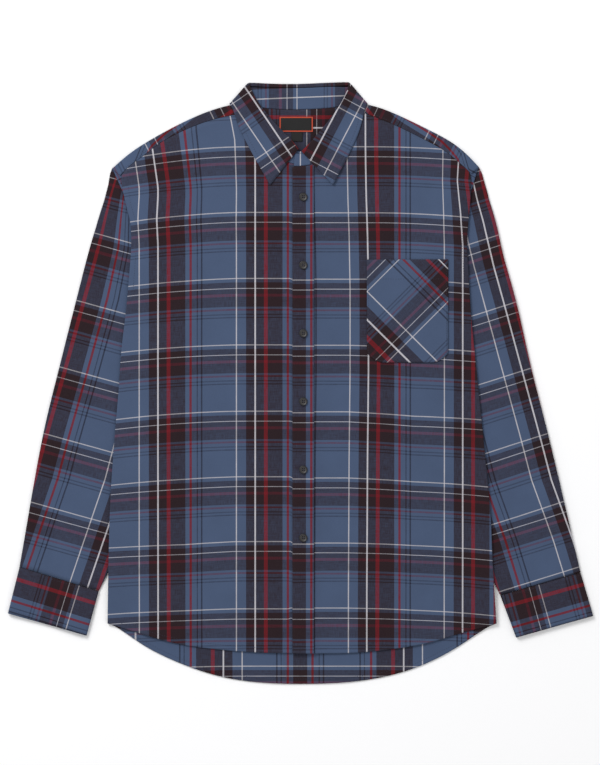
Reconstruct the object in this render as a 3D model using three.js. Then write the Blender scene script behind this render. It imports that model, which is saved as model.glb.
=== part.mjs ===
import * as THREE from 'three';

// Long-sleeved flannel shirt with a button front, laid flat on its back.
// Millimetres. +X is the wearer's left, +Y runs towards the collar and +Z points up out of the front.
// The origin is under the middle of the laid shirt, on the surface that it rests on.

// Driving sizes
const CLOTH = 1.2; // one layer of brushed cloth with its turned seams
const GAP = 0.3; // between neighbouring pieces
const AIR = 0.9; // least space between the back and the fronts
const LOFT = 1.2; // how much further the fronts stand off in the middle of the chest
const NECK_LOFT = 1.6; // and round the neck, where the folded collar holds them up
const SLEEVE_FLAT = 3.2; // height of a sleeve pressed flat under the body
const SLEEVE_PUFF = 5.1; // height of a sleeve where nothing lies on it
const CUFF_WALL = 1.8;
const CUFF_HEIGHT = 6;
const COLLAR_ROLL = 2.3; // radius of the roll along the top of the collar
const COLLAR_TUCK = 3; // how far the leaf turns in over the stand
const HEM_DEPTH = 7;
const HEM_RAISE = 0.5;
const PLACKET_FROM = -11.2;
const PLACKET_TO = 18.6;
const LAP_UNDER = 16; // how far the right front reaches under the left one past the middle
const BUTTON_ACROSS = 11.5;
const BUTTON_HEIGHT = 2.4;
const BUTTON_X = 3.8;
const BUTTON_TOP_Y = 256.4;
const BUTTON_PITCH = 93.9;
const BUTTON_COUNT = 6;
const POCKET = { left: 91.4, right: 203.3, top: 170.4, bottom: 28.4, cutAcross: 15, cutUp: 11.5 };
const LABEL = { left: -29, right: 17, top: 367.2, bottom: 346.5, thick: 0.6 };
const SIZE_TAB = { left: -12.6, right: 2.8, top: 345.9, bottom: 333, thick: 0.6 };

// Side edge of the laid body, armhole above and side seam below, on the wearer's right and left
const EDGE_RIGHT = [
  { y: -331.4, x: -266.1 },
  { y: -260.7, x: -264.9 },
  { y: -188.9, x: -263.3 },
  { y: -135.1, x: -260.6 },
  { y: -66.1, x: -255.6 },
  { y: -10.9, x: -250.7 },
  { y: 42.9, x: -247.2 },
  { y: 110.5, x: -239.4 },
  { y: 183.7, x: -233.6 },
  { y: 220.9, x: -233.6 },
  { y: 249.4, x: -241.8 },
  { y: 286.3, x: -248.7 },
];
const EDGE_LEFT = [
  { y: -331.4, x: 270.2 },
  { y: -251, x: 264.8 },
  { y: -184.2, x: 262 },
  { y: -110.3, x: 255.4 },
  { y: -35.7, x: 247.8 },
  { y: 40.2, x: 240.3 },
  { y: 90.5, x: 235.2 },
  { y: 157.5, x: 231.1 },
  { y: 200.9, x: 229.4 },
  { y: 250, x: 234 },
  { y: 288.9, x: 235.4 },
];

// Hems, from the wearer's right side seam to the left one
const FRONT_HEM = [
  { x: -266.1, y: -331.4 },
  { x: -235, y: -341 },
  { x: -190.8, y: -354.2 },
  { x: -150, y: -363.2 },
  { x: -68.8, y: -370.9 },
  { x: 23.7, y: -372.7 },
  { x: 79, y: -371.6 },
  { x: 127.2, y: -366.8 },
  { x: 171.6, y: -359.5 },
  { x: 227, y: -343.2 },
  { x: 270.2, y: -331.4 },
];
const BACK_HEM = [
  { x: -266.1, y: -331.4 },
  { x: -250, y: -338 },
  { x: -216.6, y: -362.4 },
  { x: -168.6, y: -385.7 },
  { x: -113, y: -404.9 },
  { x: -54, y: -413.8 },
  { x: 34.7, y: -414.8 },
  { x: 101.4, y: -408.6 },
  { x: 160.4, y: -392.7 },
  { x: 212.2, y: -367.2 },
  { x: 254, y: -338.4 },
  { x: 270.2, y: -331.4 },
];

// Shoulder fold of the yoke and the yoke's seam on the front, from the sleeve to the neck
const SHOULDER_RIGHT = [
  { x: -260, y: 295.6 },
  { x: -240.9, y: 312.7 },
  { x: -217.7, y: 329.3 },
  { x: -173.3, y: 354.4 },
  { x: -128.7, y: 374.7 },
  { x: -104, y: 382 },
  { x: -97.6, y: 382.6 },
  { x: -84, y: 389 },
];
const SHOULDER_LEFT = [
  { x: 246, y: 297.6 },
  { x: 227.2, y: 317.5 },
  { x: 206, y: 334.1 },
  { x: 163.3, y: 356.3 },
  { x: 117, y: 377.5 },
  { x: 98, y: 382.8 },
  { x: 91.7, y: 383.9 },
  { x: 78, y: 389 },
];
const YOKE_SEAM_RIGHT = [
  { x: -248.7, y: 286.3 },
  { x: -233, y: 302.1 },
  { x: -215.8, y: 313.7 },
  { x: -188.7, y: 335.1 },
  { x: -138.3, y: 358.2 },
  { x: -99.6, y: 369 },
  { x: -82, y: 371.5 },
];
const YOKE_SEAM_LEFT = [
  { x: 235.4, y: 288.9 },
  { x: 217.6, y: 305 },
  { x: 198.2, y: 321.4 },
  { x: 169, y: 337 },
  { x: 140, y: 351.5 },
  { x: 91.7, y: 371.5 },
  { x: 78, y: 375 },
];
const BACK_YOKE_SEAM_Y = 262;

// Sleeves in plan: the fold along the outside, the one along the inside that runs in under the body,
// the end set into the armhole and the end set into the cuff
const SLEEVE_RIGHT = {
  outer: [[-252, 296], [-283, 214], [-309.5, 114.7], [-332.5, 23.6], [-354.7, -67.5], [-387.8, -253.1]],
  inner: [[-166, 62], [-160, 14], [-165, -30], [-182, -80], [-224, -170], [-264.9, -260.7], [-278, -286.9]],
  head: [[-252, 296], [-236, 250], [-214, 200], [-189, 130], [-166, 62]],
};
const SLEEVE_LEFT = {
  outer: [
    [240, 293], [257.9, 257.6], [279.7, 175.8], [297.2, 114.7], [319.4, 16.7], [343, -75.8], [386.4, -261],
  ],
  inner: [[166, 62], [160, 14], [165, -30], [182, -80], [222, -165], [266, -274], [275, -292.5]],
  head: [[240, 293], [228, 250], [210, 200], [187, 130], [166, 62]],
};

// Cuffs in plan: corners at the sleeve seam and at the hand
const CUFF_RIGHT = {
  seamOuter: [-387.9, -253.55], seamInner: [-278.1, -287.35],
  handOuter: [-403.9, -317.3], handInner: [-294.6, -348.2],
};
const CUFF_LEFT = {
  seamOuter: [386.5, -261.45], seamInner: [275.1, -292.95],
  handOuter: [403.9, -320.7], handInner: [296.9, -350.9],
};

// Collar, station by station round the neck from the wearer's right front edge to the left one.
// roll is the top fold, fall the leaf's free edge, seam how far the neck seam lies from the roll.
const COLLAR = [
  { place: 'lap', roll: [17, 321.5], fall: [14, 281], seam: 21 },
  { place: 'front', roll: [-2.4, 323.1], fall: [-41.9, 273], seam: 25 },
  { place: 'front', roll: [-16.1, 340.4], fall: [-52, 290.5], seam: 28 },
  { place: 'front', roll: [-29.7, 352], fall: [-63, 309.5], seam: 30 },
  { place: 'front', roll: [-45.9, 371.5], fall: [-74.5, 331], seam: 31 },
  { place: 'front', roll: [-60.7, 389], fall: [-86.5, 355], seam: 31 },
  { place: 'front', roll: [-68, 407], fall: [-92.5, 377], seam: 31 },
  { place: 'turn', roll: [-72.7, 414.3], fall: [-98.6, 385.4], seam: 31 },
  { place: 'back', roll: [-64, 414.5], fall: [-84, 372.5], seam: 33 },
  { place: 'back', roll: [-46, 413.4], fall: [-58, 367], seam: 35 },
  { place: 'back', roll: [-24, 412.6], fall: [-29, 365.5], seam: 35.5 },
  { place: 'back', roll: [0, 412.8], fall: [0, 365.2], seam: 35.5 },
  { place: 'back', roll: [24, 414], fall: [27, 366], seam: 35.5 },
  { place: 'back', roll: [44, 414.8], fall: [54, 368], seam: 35 },
  { place: 'back', roll: [60, 415.3], fall: [78, 373.5], seam: 33 },
  { place: 'turn', roll: [67.5, 415], fall: [92.6, 386.2], seam: 31 },
  { place: 'front', roll: [64, 404], fall: [87.5, 374], seam: 31 },
  { place: 'front', roll: [57.5, 388], fall: [83.5, 353], seam: 31 },
  { place: 'front', roll: [42, 366], fall: [74.5, 331], seam: 31 },
  { place: 'front', roll: [25, 345.5], fall: [64, 309.5], seam: 30 },
  { place: 'front', roll: [12.5, 331], fall: [53, 289], seam: 28 },
  { place: 'front', roll: [1, 319.5], fall: [44.5, 273], seam: 24 },
  { place: 'lap', roll: [-8, 317], fall: [-10.5, 280], seam: 18 },
];

// Soft folds that stand up from the cloth: from one end to the other, with height and half width
const FRONT_FOLDS = [
  { from: [214, 285], to: [222, 190], height: 1.8, width: 12 },
  { from: [196, 262], to: [205, 120], height: 1.2, width: 20 },
  { from: [-226, 262], to: [-205, 170], height: 1.6, width: 16 },
  { from: [-190, 300], to: [-130, 200], height: 1, width: 26 },
  { from: [-215, 60], to: [-150, -90], height: 1.1, width: 30 },
  { from: [215, 60], to: [160, -90], height: 1.1, width: 30 },
  { from: [-90, -330], to: [-70, -150], height: 0.9, width: 28 },
  { from: [110, -330], to: [95, -170], height: 0.9, width: 28 },
];
const SLEEVE_FOLDS = [
  { from: [-262, 262], to: [-252, 120], height: 1.1, width: 12 },
  { from: [-300, 60], to: [-270, -60], height: 1.1, width: 16 },
  { from: [-350, -120], to: [-320, -230], height: 1.1, width: 13 },
  { from: [-375, -215], to: [-345, -180], height: 0.9, width: 10 },
  { from: [256, 250], to: [250, 120], height: 1.1, width: 12 },
  { from: [290, 50], to: [268, -60], height: 1.1, width: 16 },
  { from: [345, -130], to: [322, -235], height: 1.1, width: 13 },
  { from: [372, -220], to: [345, -190], height: 0.9, width: 10 },
];

// Colours by eye
const CLOTH_BLUE = '#4b5f7d';
const CLOTH_DARK = '#30242a';
const CLOTH_SLATE = '#3e3c4b';
const BUTTON_COLOUR = '#2c2a2e';
const LABEL_COLOUR = '#1b1a1c';

// Small helpers

const plan = (pair) => new THREE.Vector2(pair[0], pair[1]);

function clamp01(value) {
  return Math.min(1, Math.max(0, value));
}

function smoothStep(value) {
  const v = clamp01(value);
  return v * v * (3 - 2 * v);
}

// Even shares of a length, both ends included
function shares(count) {
  return Array.from({ length: count + 1 }, (_, i) => i / count);
}

// Value of one column of a table against another, with a smooth curve through the rows
function tableCurve(rows, along, value) {
  const curve = new THREE.SplineCurve(rows.map((row) => new THREE.Vector2(row[along], row[value])));
  const samples = curve.getPoints(rows.length * 12);
  const rising = samples[samples.length - 1].x > samples[0].x;
  return (at) => {
    let k = 1;
    while (k < samples.length - 1 && (rising ? samples[k].x < at : samples[k].x > at)) {
      k += 1;
    }
    const [a, b] = [samples[k - 1], samples[k]];
    return a.y + ((b.y - a.y) * (at - a.x)) / (b.x - a.x);
  };
}

// Smooth plan curve through a list of points, read by its share of the length
function planCurve(points) {
  const knots = points.map(([x, y]) => new THREE.Vector3(x, y, 0));
  const curve = new THREE.CatmullRomCurve3(knots, false, 'centripetal');
  return (share) => {
    const at = curve.getPointAt(clamp01(share));
    return new THREE.Vector2(at.x, at.y);
  };
}

// Point of the patch that four edge curves bound: low and high run across, left and right run up
function patchPoint({ low, high, left, right }, across, up) {
  const [a, b, c, d] = [low(across), high(across), left(up), right(up)];
  const corners = [low(0), low(1), high(0), high(1)];
  const mix = (axis) =>
    (1 - up) * a[axis] + up * b[axis] + (1 - across) * c[axis] + across * d[axis]
    - (1 - across) * (1 - up) * corners[0][axis] - across * (1 - up) * corners[1][axis]
    - (1 - across) * up * corners[2][axis] - across * up * corners[3][axis];
  return new THREE.Vector2(mix('x'), mix('y'));
}

// How far a point lies inside a closed outline, negative when it lies outside
function depthInside(outline, x, y) {
  let nearest = Infinity;
  let inside = false;
  outline.forEach((a, k) => {
    const b = outline[(k + 1) % outline.length];
    const along = clamp01(((x - a.x) * (b.x - a.x) + (y - a.y) * (b.y - a.y)) / a.distanceToSquared(b));
    nearest = Math.min(nearest, Math.hypot(x - a.x - along * (b.x - a.x), y - a.y - along * (b.y - a.y)));
    if (a.y > y !== b.y > y && x < a.x + ((b.x - a.x) * (y - a.y)) / (b.y - a.y)) {
      inside = !inside;
    }
  });
  return inside ? nearest : -nearest;
}

// Height that a table of soft folds adds at a point. FADE_END says how soon a fold dies out past its ends.
const FADE_END = 1.6;
const FADE_RATE = 2.2;
function foldHeight(folds, x, y) {
  return folds.reduce((sum, { from, to, height, width }) => {
    const [dx, dy] = [to[0] - from[0], to[1] - from[1]];
    const along = ((x - from[0]) * dx + (y - from[1]) * dy) / (dx * dx + dy * dy);
    const aside = ((x - from[0]) * dy - (y - from[1]) * dx) / Math.hypot(dx, dy);
    const fade = smoothStep(FADE_END - FADE_RATE * Math.abs(along - 0.5));
    return sum + height * fade * Math.exp(-((aside / width) ** 2));
  }, 0);
}

// Closed solid between two equal grids of points, outer and inner. A ring grid joins its last column to
// its first. keep says which cells of the grid are cloth, and each open edge of those gets a rim.
function wallBetween(outer, inner, { ring = false, keep = () => true } = {}) {
  const vertices = [];
  const triangles = [];
  const seen = new Map();
  const indexOf = (point) => {
    const key = point.toArray().map((value) => Math.round(value * 1000)).join();
    if (!seen.has(key)) {
      seen.set(key, vertices.length / 3);
      vertices.push(point.x, point.y, point.z);
    }
    return seen.get(key);
  };
  const quad = (a, b, c, d) => triangles.push(a, b, c, a, c, d);
  const rows = outer.length;
  const columns = outer[0].length;
  const isCell = (i, j) => i >= 0 && i < rows - 1 && (ring || (j >= 0 && j < columns - 1)) && keep(i, j);
  const face = (i, j) => [outer, inner].map((grid) => indexOf(grid[i][j % columns]));
  for (let i = 0; i < rows - 1; i += 1) {
    for (let j = 0; j < (ring ? columns : columns - 1); j += 1) {
      if (isCell(i, j)) {
        const corners = [face(i, j), face(i, j + 1), face(i + 1, j + 1), face(i + 1, j)];
        quad(...corners.map(([out]) => out));
        quad(...corners.map(([, back]) => back).reverse());
        const neighbours = [[i - 1, j], [i, j + 1], [i + 1, j], [i, j - 1]];
        neighbours.filter(([m, n]) => !isCell(m, n)).forEach(([m, n]) => {
          const side = neighbours.findIndex(([p, q]) => p === m && q === n);
          const [from, to] = [corners[side], corners[(side + 1) % 4]];
          quad(from[0], from[1], to[1], to[0]);
        });
      }
    }
  }
  return facingOut(vertices, triangles);
}

// Geometry from indexed triangles, turned so that it encloses a positive volume
function facingOut(vertices, triangles) {
  const corner = (k) => new THREE.Vector3().fromArray(vertices, 3 * triangles[k]);
  let volume = 0;
  for (let k = 0; k < triangles.length; k += 3) {
    volume += corner(k).dot(corner(k + 1).cross(corner(k + 2)));
  }
  const geometry = new THREE.BufferGeometry();
  geometry.setAttribute('position', new THREE.Float32BufferAttribute(vertices, 3));
  geometry.setIndex(volume > 0 ? triangles : triangles.reverse());
  geometry.computeVertexNormals();
  return geometry;
}

// Sheet of cloth over a grid of plan points: under gives the height of its lower face
function layCloth(grid, under, thick = () => CLOTH) {
  const lower = grid.map((row) => row.map(({ x, y }) => new THREE.Vector3(x, y, under(x, y))));
  const upper = grid.map((row) => row.map(({ x, y }) => new THREE.Vector3(x, y, under(x, y) + thick(x, y))));
  return wallBetween(upper, lower);
}

const shirt = new THREE.Group();

function addPiece(name, geometry, color, roughness = 0.95) {
  const mesh = new THREE.Mesh(geometry, new THREE.MeshStandardMaterial({ color, roughness, metalness: 0 }));
  mesh.name = name;
  shirt.add(mesh);
}

// Outlines that several pieces share

const edgeRightX = tableCurve(EDGE_RIGHT, 'y', 'x');
const edgeLeftX = tableCurve(EDGE_LEFT, 'y', 'x');
const frontHemY = tableCurve(FRONT_HEM, 'x', 'y');
const backHemY = tableCurve(BACK_HEM, 'x', 'y');
const HEM_CORNER_Y = EDGE_RIGHT[0].y;
const HEM_FROM = FRONT_HEM[0].x;
const HEM_TO = FRONT_HEM[FRONT_HEM.length - 1].x;

// Side edge from the hem corner up to a height
function sideEdge(edgeX, top) {
  return (share) => {
    const y = HEM_CORNER_Y + share * (top - HEM_CORNER_Y);
    return new THREE.Vector2(edgeX(y), y);
  };
}

const bodyOutline = [
  ...shares(20).map(sideEdge(edgeRightX, EDGE_RIGHT[EDGE_RIGHT.length - 1].y)),
  ...SHOULDER_RIGHT.map(({ x, y }) => new THREE.Vector2(x, y)),
  ...[...SHOULDER_LEFT].reverse().map(({ x, y }) => new THREE.Vector2(x, y)),
  ...shares(20).map(sideEdge(edgeLeftX, EDGE_LEFT[EDGE_LEFT.length - 1].y)).reverse(),
];

function sleeveEdges({ outer, inner, head }) {
  const [armhole, fold, seamFold] = [head, outer, inner].map(planCurve);
  const [cuffOuter, cuffInner] = [fold(1), seamFold(1)];
  const cuffEnd = (share) => cuffOuter.clone().lerp(cuffInner, share);
  return { low: armhole, high: cuffEnd, left: fold, right: seamFold };
}

// A sleeve's whole outline in plan
function sleeveOutline(edges) {
  const steps = shares(24);
  return [
    ...steps.map(edges.low),
    ...steps.slice(1).map(edges.right),
    ...steps.slice(1).reverse().map(edges.left),
  ];
}

// Collar frame. A place on the collar is given by its station, by the distance from the roll towards the
// free edge, and by the depth below the leaf's outer face, and this turns the three into a point.
const STATION_TURNS = COLLAR.map(({ place }, k) => (place === 'turn' ? k : -1)).filter((k) => k >= 0);
const rollCurve = COLLAR.map(({ roll }) => plan(roll));
const fallCurve = COLLAR.map(({ fall }) => plan(fall));
const NECK_LIFT = CLOTH + GAP;
const NECK_LEVEL = CLOTH + AIR + NECK_LOFT; // lower face of the front neck edge
const FALL_LEVEL = NECK_LEVEL + 2 * CLOTH + 1.5 * GAP; // outer face of the leaf where it lies on the front
const ROLL_LEVEL = FALL_LEVEL + 3; // outer face of the leaf at the top of its front roll
const FALL_SETTLES = 30; // distance from the roll at which the leaf has come down onto the front
const LAP_RAISE = CLOTH + HEM_RAISE + GAP; // the left side lies this much higher where it laps over the right
const LEFT_RAISE_STATION = 18.8; // from here on the left end of the collar climbs for one station

// Reads a list of plan points at a station that may lie between two rows
function atStation(points, station) {
  const k = Math.min(points.length - 2, Math.floor(station));
  return points[k].clone().lerp(points[k + 1], station - k);
}

// 0 on the back of the neck, 1 on its front, and the half turn between the two at the shoulders
function turnAngle(station) {
  const [right, left] = STATION_TURNS;
  const away = station < (right + left) / 2 ? right - station : station - left;
  return Math.PI * smoothStep(away + 0.5);
}

// 1 where the leaf rolls over the stand, falling to 0 at the stand's own two ends
function crownAt(station) {
  return smoothStep(Math.min(station, COLLAR.length - 1 - station));
}

function frontLevel(station, distance) {
  return FALL_LEVEL + (ROLL_LEVEL - FALL_LEVEL) * crownAt(station) * smoothStep(1 - distance / FALL_SETTLES);
}

function collarPoint(station, distance, depth) {
  const roll = atStation(rollCurve, station);
  const towards = atStation(fallCurve, station).sub(roll).normalize();
  const side = station < (STATION_TURNS[0] + STATION_TURNS[1]) / 2 ? -1 : 1;
  const outward = new THREE.Vector2(-towards.y, towards.x).multiplyScalar(side);
  const half = frontLevel(station, distance) / 2;
  const angle = turnAngle(station);
  const swing = (half - depth) * Math.sin(angle);
  const turned = smoothStep(1 - 2 * Math.abs(angle / Math.PI - 0.5));
  const at = roll.add(towards.multiplyScalar(distance)).addScaledVector(outward, swing - half * turned);
  const raise = LAP_RAISE * smoothStep(station - LEFT_RAISE_STATION);
  return new THREE.Vector3(at.x, at.y, half - (half - depth) * Math.cos(angle) + raise);
}

const seamDistance = (station) => {
  const k = Math.min(COLLAR.length - 2, Math.floor(station));
  return COLLAR[k].seam + (COLLAR[k + 1].seam - COLLAR[k].seam) * (station - k);
};

// Room that the pieces leave each other where the collar turns, falling off over the stations beside it
const TURN_ROOM = 1.2;
function turnRoom(station) {
  const fromTurn = Math.min(...STATION_TURNS.map((turn) => Math.abs(station - turn)));
  return TURN_ROOM * smoothStep(2 - fromTurn);
}

// Plan point of the neck seam, on the cloth side of it
function neckEdge(station) {
  const room = GAP + 0.1 + turnRoom(station);
  const { x, y } = collarPoint(station, seamDistance(station) + room, NECK_LIFT);
  return new THREE.Vector2(x, y);
}

// Heights of the stack of cloth

const sleeveShapes = [SLEEVE_RIGHT, SLEEVE_LEFT].map(sleeveEdges);
const sleeveOutlines = sleeveShapes.map(sleeveOutline);
const backStations = COLLAR.filter(({ place }) => place === 'back' || place === 'turn');
const leafBackOutline = [
  ...backStations.map(({ roll }) => plan(roll)),
  ...backStations.map(({ fall }) => plan(fall)).reverse(),
];

const RAMP_BODY = 65; // how far the body takes to climb over a sleeve
const RAMP_CLEAR = 6;
const RAMP_NECK = 60; // how far it takes to climb over the collar's back
const NECK_FLAT = 40;

// Lower face of the back and of the yoke's back layer
function backUnder(x, y) {
  const overSleeve = Math.max(...sleeveOutlines.map((outline) => depthInside(outline, x, y)));
  const climb = (SLEEVE_FLAT + 2 * GAP) * smoothStep((overSleeve + RAMP_CLEAR + RAMP_BODY) / RAMP_BODY);
  const overLeaf = depthInside(leafBackOutline, x, y);
  return Math.max(climb, NECK_LIFT * smoothStep((overLeaf + NECK_FLAT + RAMP_NECK) / RAMP_NECK));
}

const LOFT_SIDE = 90; // how far from the sides the fronts take to stand off fully
const LOFT_HEM = 120; // and from the hem
const FOLD_SIDE = 14; // how far from the sides the folds die out
const NECK_ZONE = { from: 270, over: 50, half: 125, aside: 30 }; // where the front neck edge lies level

// Lower face of the fronts
function frontUnder(x, y) {
  const inside = depthInside(bodyOutline, x, y);
  const loft = LOFT * smoothStep(inside / LOFT_SIDE) * smoothStep((y - frontHemY(x)) / LOFT_HEM);
  const folds = foldHeight(FRONT_FOLDS, x, y) * smoothStep(inside / FOLD_SIDE);
  const { from, over, half, aside } = NECK_ZONE;
  const neck = smoothStep((y - from) / over) * smoothStep((half - Math.abs(x)) / aside);
  const level = backUnder(x, y) + CLOTH + AIR + loft + folds;
  return level + (NECK_LEVEL - level) * neck;
}

// The left front lies one layer higher where the right one reaches under it
const LAP_RAMP = 14;
const LAP_CLEAR = 4;
function leftFrontUnder(x, y) {
  return frontUnder(x, y) + LAP_RAISE * smoothStep((LAP_UNDER + LAP_CLEAR + LAP_RAMP - x) / LAP_RAMP);
}

// Body panels

function hemThickness(hemY) {
  return (x, y) => CLOTH + (y < hemY(x) + HEM_DEPTH ? HEM_RAISE : 0);
}

// Rows of a body panel: the hem's edge, both sides of its turned top and then even steps up to the shoulder
const HEM_STEP = [0.92, 1.1];
function panelRows(count, height) {
  const turned = HEM_DEPTH / height;
  const rest = shares(count).slice(1).map((share) => turned + share * (1 - turned));
  return [0, ...HEM_STEP.map((step) => turned * step), ...rest];
}

const BACK_ROWS = 25;
const FRONT_ROWS = 27;

// Columns of the back, crowded towards the side seams, where it climbs over the sleeves
const BACK_HALF_COLUMNS = [0, 0.02, 0.055, 0.1, 0.15, 0.205, 0.27, 0.34, 0.42];

function buildBack() {
  const edges = {
    low: (share) => {
      const x = HEM_FROM + share * (HEM_TO - HEM_FROM);
      return new THREE.Vector2(x, backHemY(x));
    },
    high: (share) => new THREE.Vector2(
      edgeRightX(BACK_YOKE_SEAM_Y) + share * (edgeLeftX(BACK_YOKE_SEAM_Y) - edgeRightX(BACK_YOKE_SEAM_Y)),
      BACK_YOKE_SEAM_Y - GAP,
    ),
    left: sideEdge(edgeRightX, BACK_YOKE_SEAM_Y - GAP),
    right: sideEdge(edgeLeftX, BACK_YOKE_SEAM_Y - GAP),
  };
  const columns = [...BACK_HALF_COLUMNS, 0.5, ...BACK_HALF_COLUMNS.map((share) => 1 - share).reverse()];
  const rows = panelRows(BACK_ROWS, BACK_YOKE_SEAM_Y - HEM_CORNER_Y);
  const grid = rows.map((up) => columns.map((across) => patchPoint(edges, across, up)));
  addPiece('back', layCloth(grid, backUnder, hemThickness(backHemY)), CLOTH_BLUE);
}

// Shares along the front yoke seam, kept by the front and by the yoke so that their edges follow each other
const SEAM_SHARES = [0, 0.045, 0.11, 0.19, 0.28, 0.38, 0.49, 0.61, 0.74, 0.87, 1];
const SEAM_PART = 0.64; // part of a front's columns that meet the yoke, the rest meet the collar stand
const SEAM_DROP = 0.4; // keeps the gap across the sloping yoke seam

// Top edge of a front: along the yoke seam to the neck, then down the neck seam through collar stations
function frontTop(seamRows, stations) {
  const seamY = tableCurve(seamRows, 'x', 'y');
  const start = seamRows[0].x;
  const corner = neckEdge(stations[0]);
  return (share) => {
    if (share <= SEAM_PART) {
      const x = start + (corner.x - start) * (share / SEAM_PART);
      return new THREE.Vector2(x, seamY(x) - SEAM_DROP);
    }
    const step = ((share - SEAM_PART) / (1 - SEAM_PART)) * (stations.length - 1);
    const k = Math.min(stations.length - 2, Math.floor(step + 1e-9));
    return neckEdge(stations[k] + (stations[k + 1] - stations[k]) * (step - k));
  };
}

function buildFront(name, { edgeX, seamRows, stations, middleX, under }) {
  const top = frontTop(seamRows, stations);
  const sideX = edgeX(HEM_CORNER_Y);
  const hemAt = (x) => new THREE.Vector2(x, frontHemY(x));
  const edges = {
    low: (share) => hemAt(sideX + share * (middleX - sideX)),
    high: top,
    left: sideEdge(edgeX, top(0).y),
    right: (share) => hemAt(middleX).lerp(top(1), share),
  };
  const neckShares = shares(stations.length - 1).slice(1);
  const neckColumns = neckShares.map((share) => SEAM_PART + share * (1 - SEAM_PART));
  const columns = [...SEAM_SHARES.map((share) => share * SEAM_PART), ...neckColumns];
  const rows = panelRows(FRONT_ROWS, top(0).y - HEM_CORNER_Y);
  const grid = rows.map((up) => columns.map((across) => patchPoint(edges, across, up)));
  addPiece(name, layCloth(grid, under, hemThickness(frontHemY)), CLOTH_BLUE);
}

// Yoke: one piece from the back seam up and over both shoulders to the front seams. Between the shoulders
// it ends at the neck, so there it has no fold and no front strip.
const YOKE_BACK_ROWS = 6;
const YOKE_FOLD_ANGLES = [-90, -45, 0, 45, 90].map(THREE.MathUtils.degToRad);
const YOKE_STRIP_ROWS = 3;
const RIGHT_NECK_STATIONS = [5.4, 5, 4, 3, 2, 1, 0.5, 0]; // where the right front meets the collar
const LEFT_NECK_STATIONS = [16.4, 17, 18, 19, 20, 21, 21.5, 22];
const BACK_NECK_STATIONS = [7.5, 8, 8.5, 9, 10, 11, 12, 13, 13.5, 14, 14.5];

// Points of one yoke column over a shoulder, on its outer or inner face
function shoulderColumn(foot, top, end, outward, inset) {
  const radius = (frontUnder(top.x, top.y) + CLOTH - backUnder(top.x, top.y)) / 2;
  const centre = top.clone().addScaledVector(outward, -radius);
  const points = [];
  for (let k = 0; k < YOKE_BACK_ROWS; k += 1) {
    const { x, y } = foot.clone().lerp(centre, k / YOKE_BACK_ROWS);
    points.push(new THREE.Vector3(x, y, backUnder(x, y) + inset));
  }
  const level = backUnder(centre.x, centre.y) + radius;
  for (const angle of YOKE_FOLD_ANGLES) {
    const reach = (radius - inset) * Math.cos(angle);
    const rise = (radius - inset) * Math.sin(angle);
    points.push(new THREE.Vector3(centre.x + outward.x * reach, centre.y + outward.y * reach, level + rise));
  }
  for (let k = 1; k <= YOKE_STRIP_ROWS; k += 1) {
    const { x, y } = centre.clone().lerp(end, k / YOKE_STRIP_ROWS);
    points.push(new THREE.Vector3(x, y, frontUnder(x, y) + CLOTH - inset));
  }
  return points;
}

// Points of one yoke column below the neck
function neckColumn(foot, top, inset) {
  const points = [];
  for (let k = 0; k <= YOKE_BACK_ROWS; k += 1) {
    const { x, y } = foot.clone().lerp(top, k / YOKE_BACK_ROWS);
    points.push(new THREE.Vector3(x, y, backUnder(x, y) + inset));
  }
  const unused = YOKE_FOLD_ANGLES.length - 1 + YOKE_STRIP_ROWS;
  return [...points, ...Array.from({ length: unused }, () => points[YOKE_BACK_ROWS])];
}

// One shoulder of the yoke, column by column from the sleeve to the neck
function shoulderColumns({ edgeX, shoulderRows, seamRows, corner, turn }, inset) {
  const shoulderY = tableCurve(shoulderRows, 'x', 'y');
  const seamY = tableCurve(seamRows, 'x', 'y');
  const tip = shoulderRows[0].x;
  const neck = neckEdge(turn).x;
  const seamNeck = neckEdge(corner).x;
  const footTip = edgeX(BACK_YOKE_SEAM_Y);
  return SEAM_SHARES.map((share) => {
    const x = tip + share * (neck - tip);
    const top = new THREE.Vector2(x, shoulderY(x));
    const slope = (shoulderY(x + 1) - shoulderY(x - 1)) / 2;
    const outward = new THREE.Vector2(-slope, 1).normalize();
    const seamX = seamRows[0].x + share * (seamNeck - seamRows[0].x);
    const end = new THREE.Vector2(seamX, seamY(seamX));
    const foot = new THREE.Vector2(footTip + share * (neck * 0.9 - footTip), BACK_YOKE_SEAM_Y);
    return shoulderColumn(foot, top, end, outward, inset);
  });
}

function yokeFace(inset) {
  const [rightTurn, leftTurn] = STATION_TURNS;
  const right = {
    edgeX: edgeRightX, shoulderRows: SHOULDER_RIGHT, seamRows: YOKE_SEAM_RIGHT,
    corner: RIGHT_NECK_STATIONS[0], turn: rightTurn,
  };
  const left = {
    edgeX: edgeLeftX, shoulderRows: SHOULDER_LEFT, seamRows: YOKE_SEAM_LEFT,
    corner: LEFT_NECK_STATIONS[0], turn: leftTurn,
  };
  const rightColumns = shoulderColumns(right, inset);
  const leftColumns = shoulderColumns(left, inset).reverse();
  const footFrom = rightColumns[rightColumns.length - 1][0].x;
  const footTo = leftColumns[0][0].x;
  const middle = BACK_NECK_STATIONS.map((station, k) => {
    const share = (k + 0.5) / BACK_NECK_STATIONS.length;
    const foot = new THREE.Vector2(footFrom + share * (footTo - footFrom), BACK_YOKE_SEAM_Y);
    return neckColumn(foot, neckEdge(station), inset);
  });
  return [...rightColumns, ...middle, ...leftColumns];
}

function buildYoke() {
  const lastRight = SEAM_SHARES.length - 1;
  const firstLeft = lastRight + 1 + BACK_NECK_STATIONS.length;
  const keep = (i, j) => j < YOKE_BACK_ROWS || i < lastRight || i >= firstLeft;
  addPiece('yoke', wallBetween(yokeFace(0), yokeFace(CLOTH), { keep }), CLOTH_SLATE);
}

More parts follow.
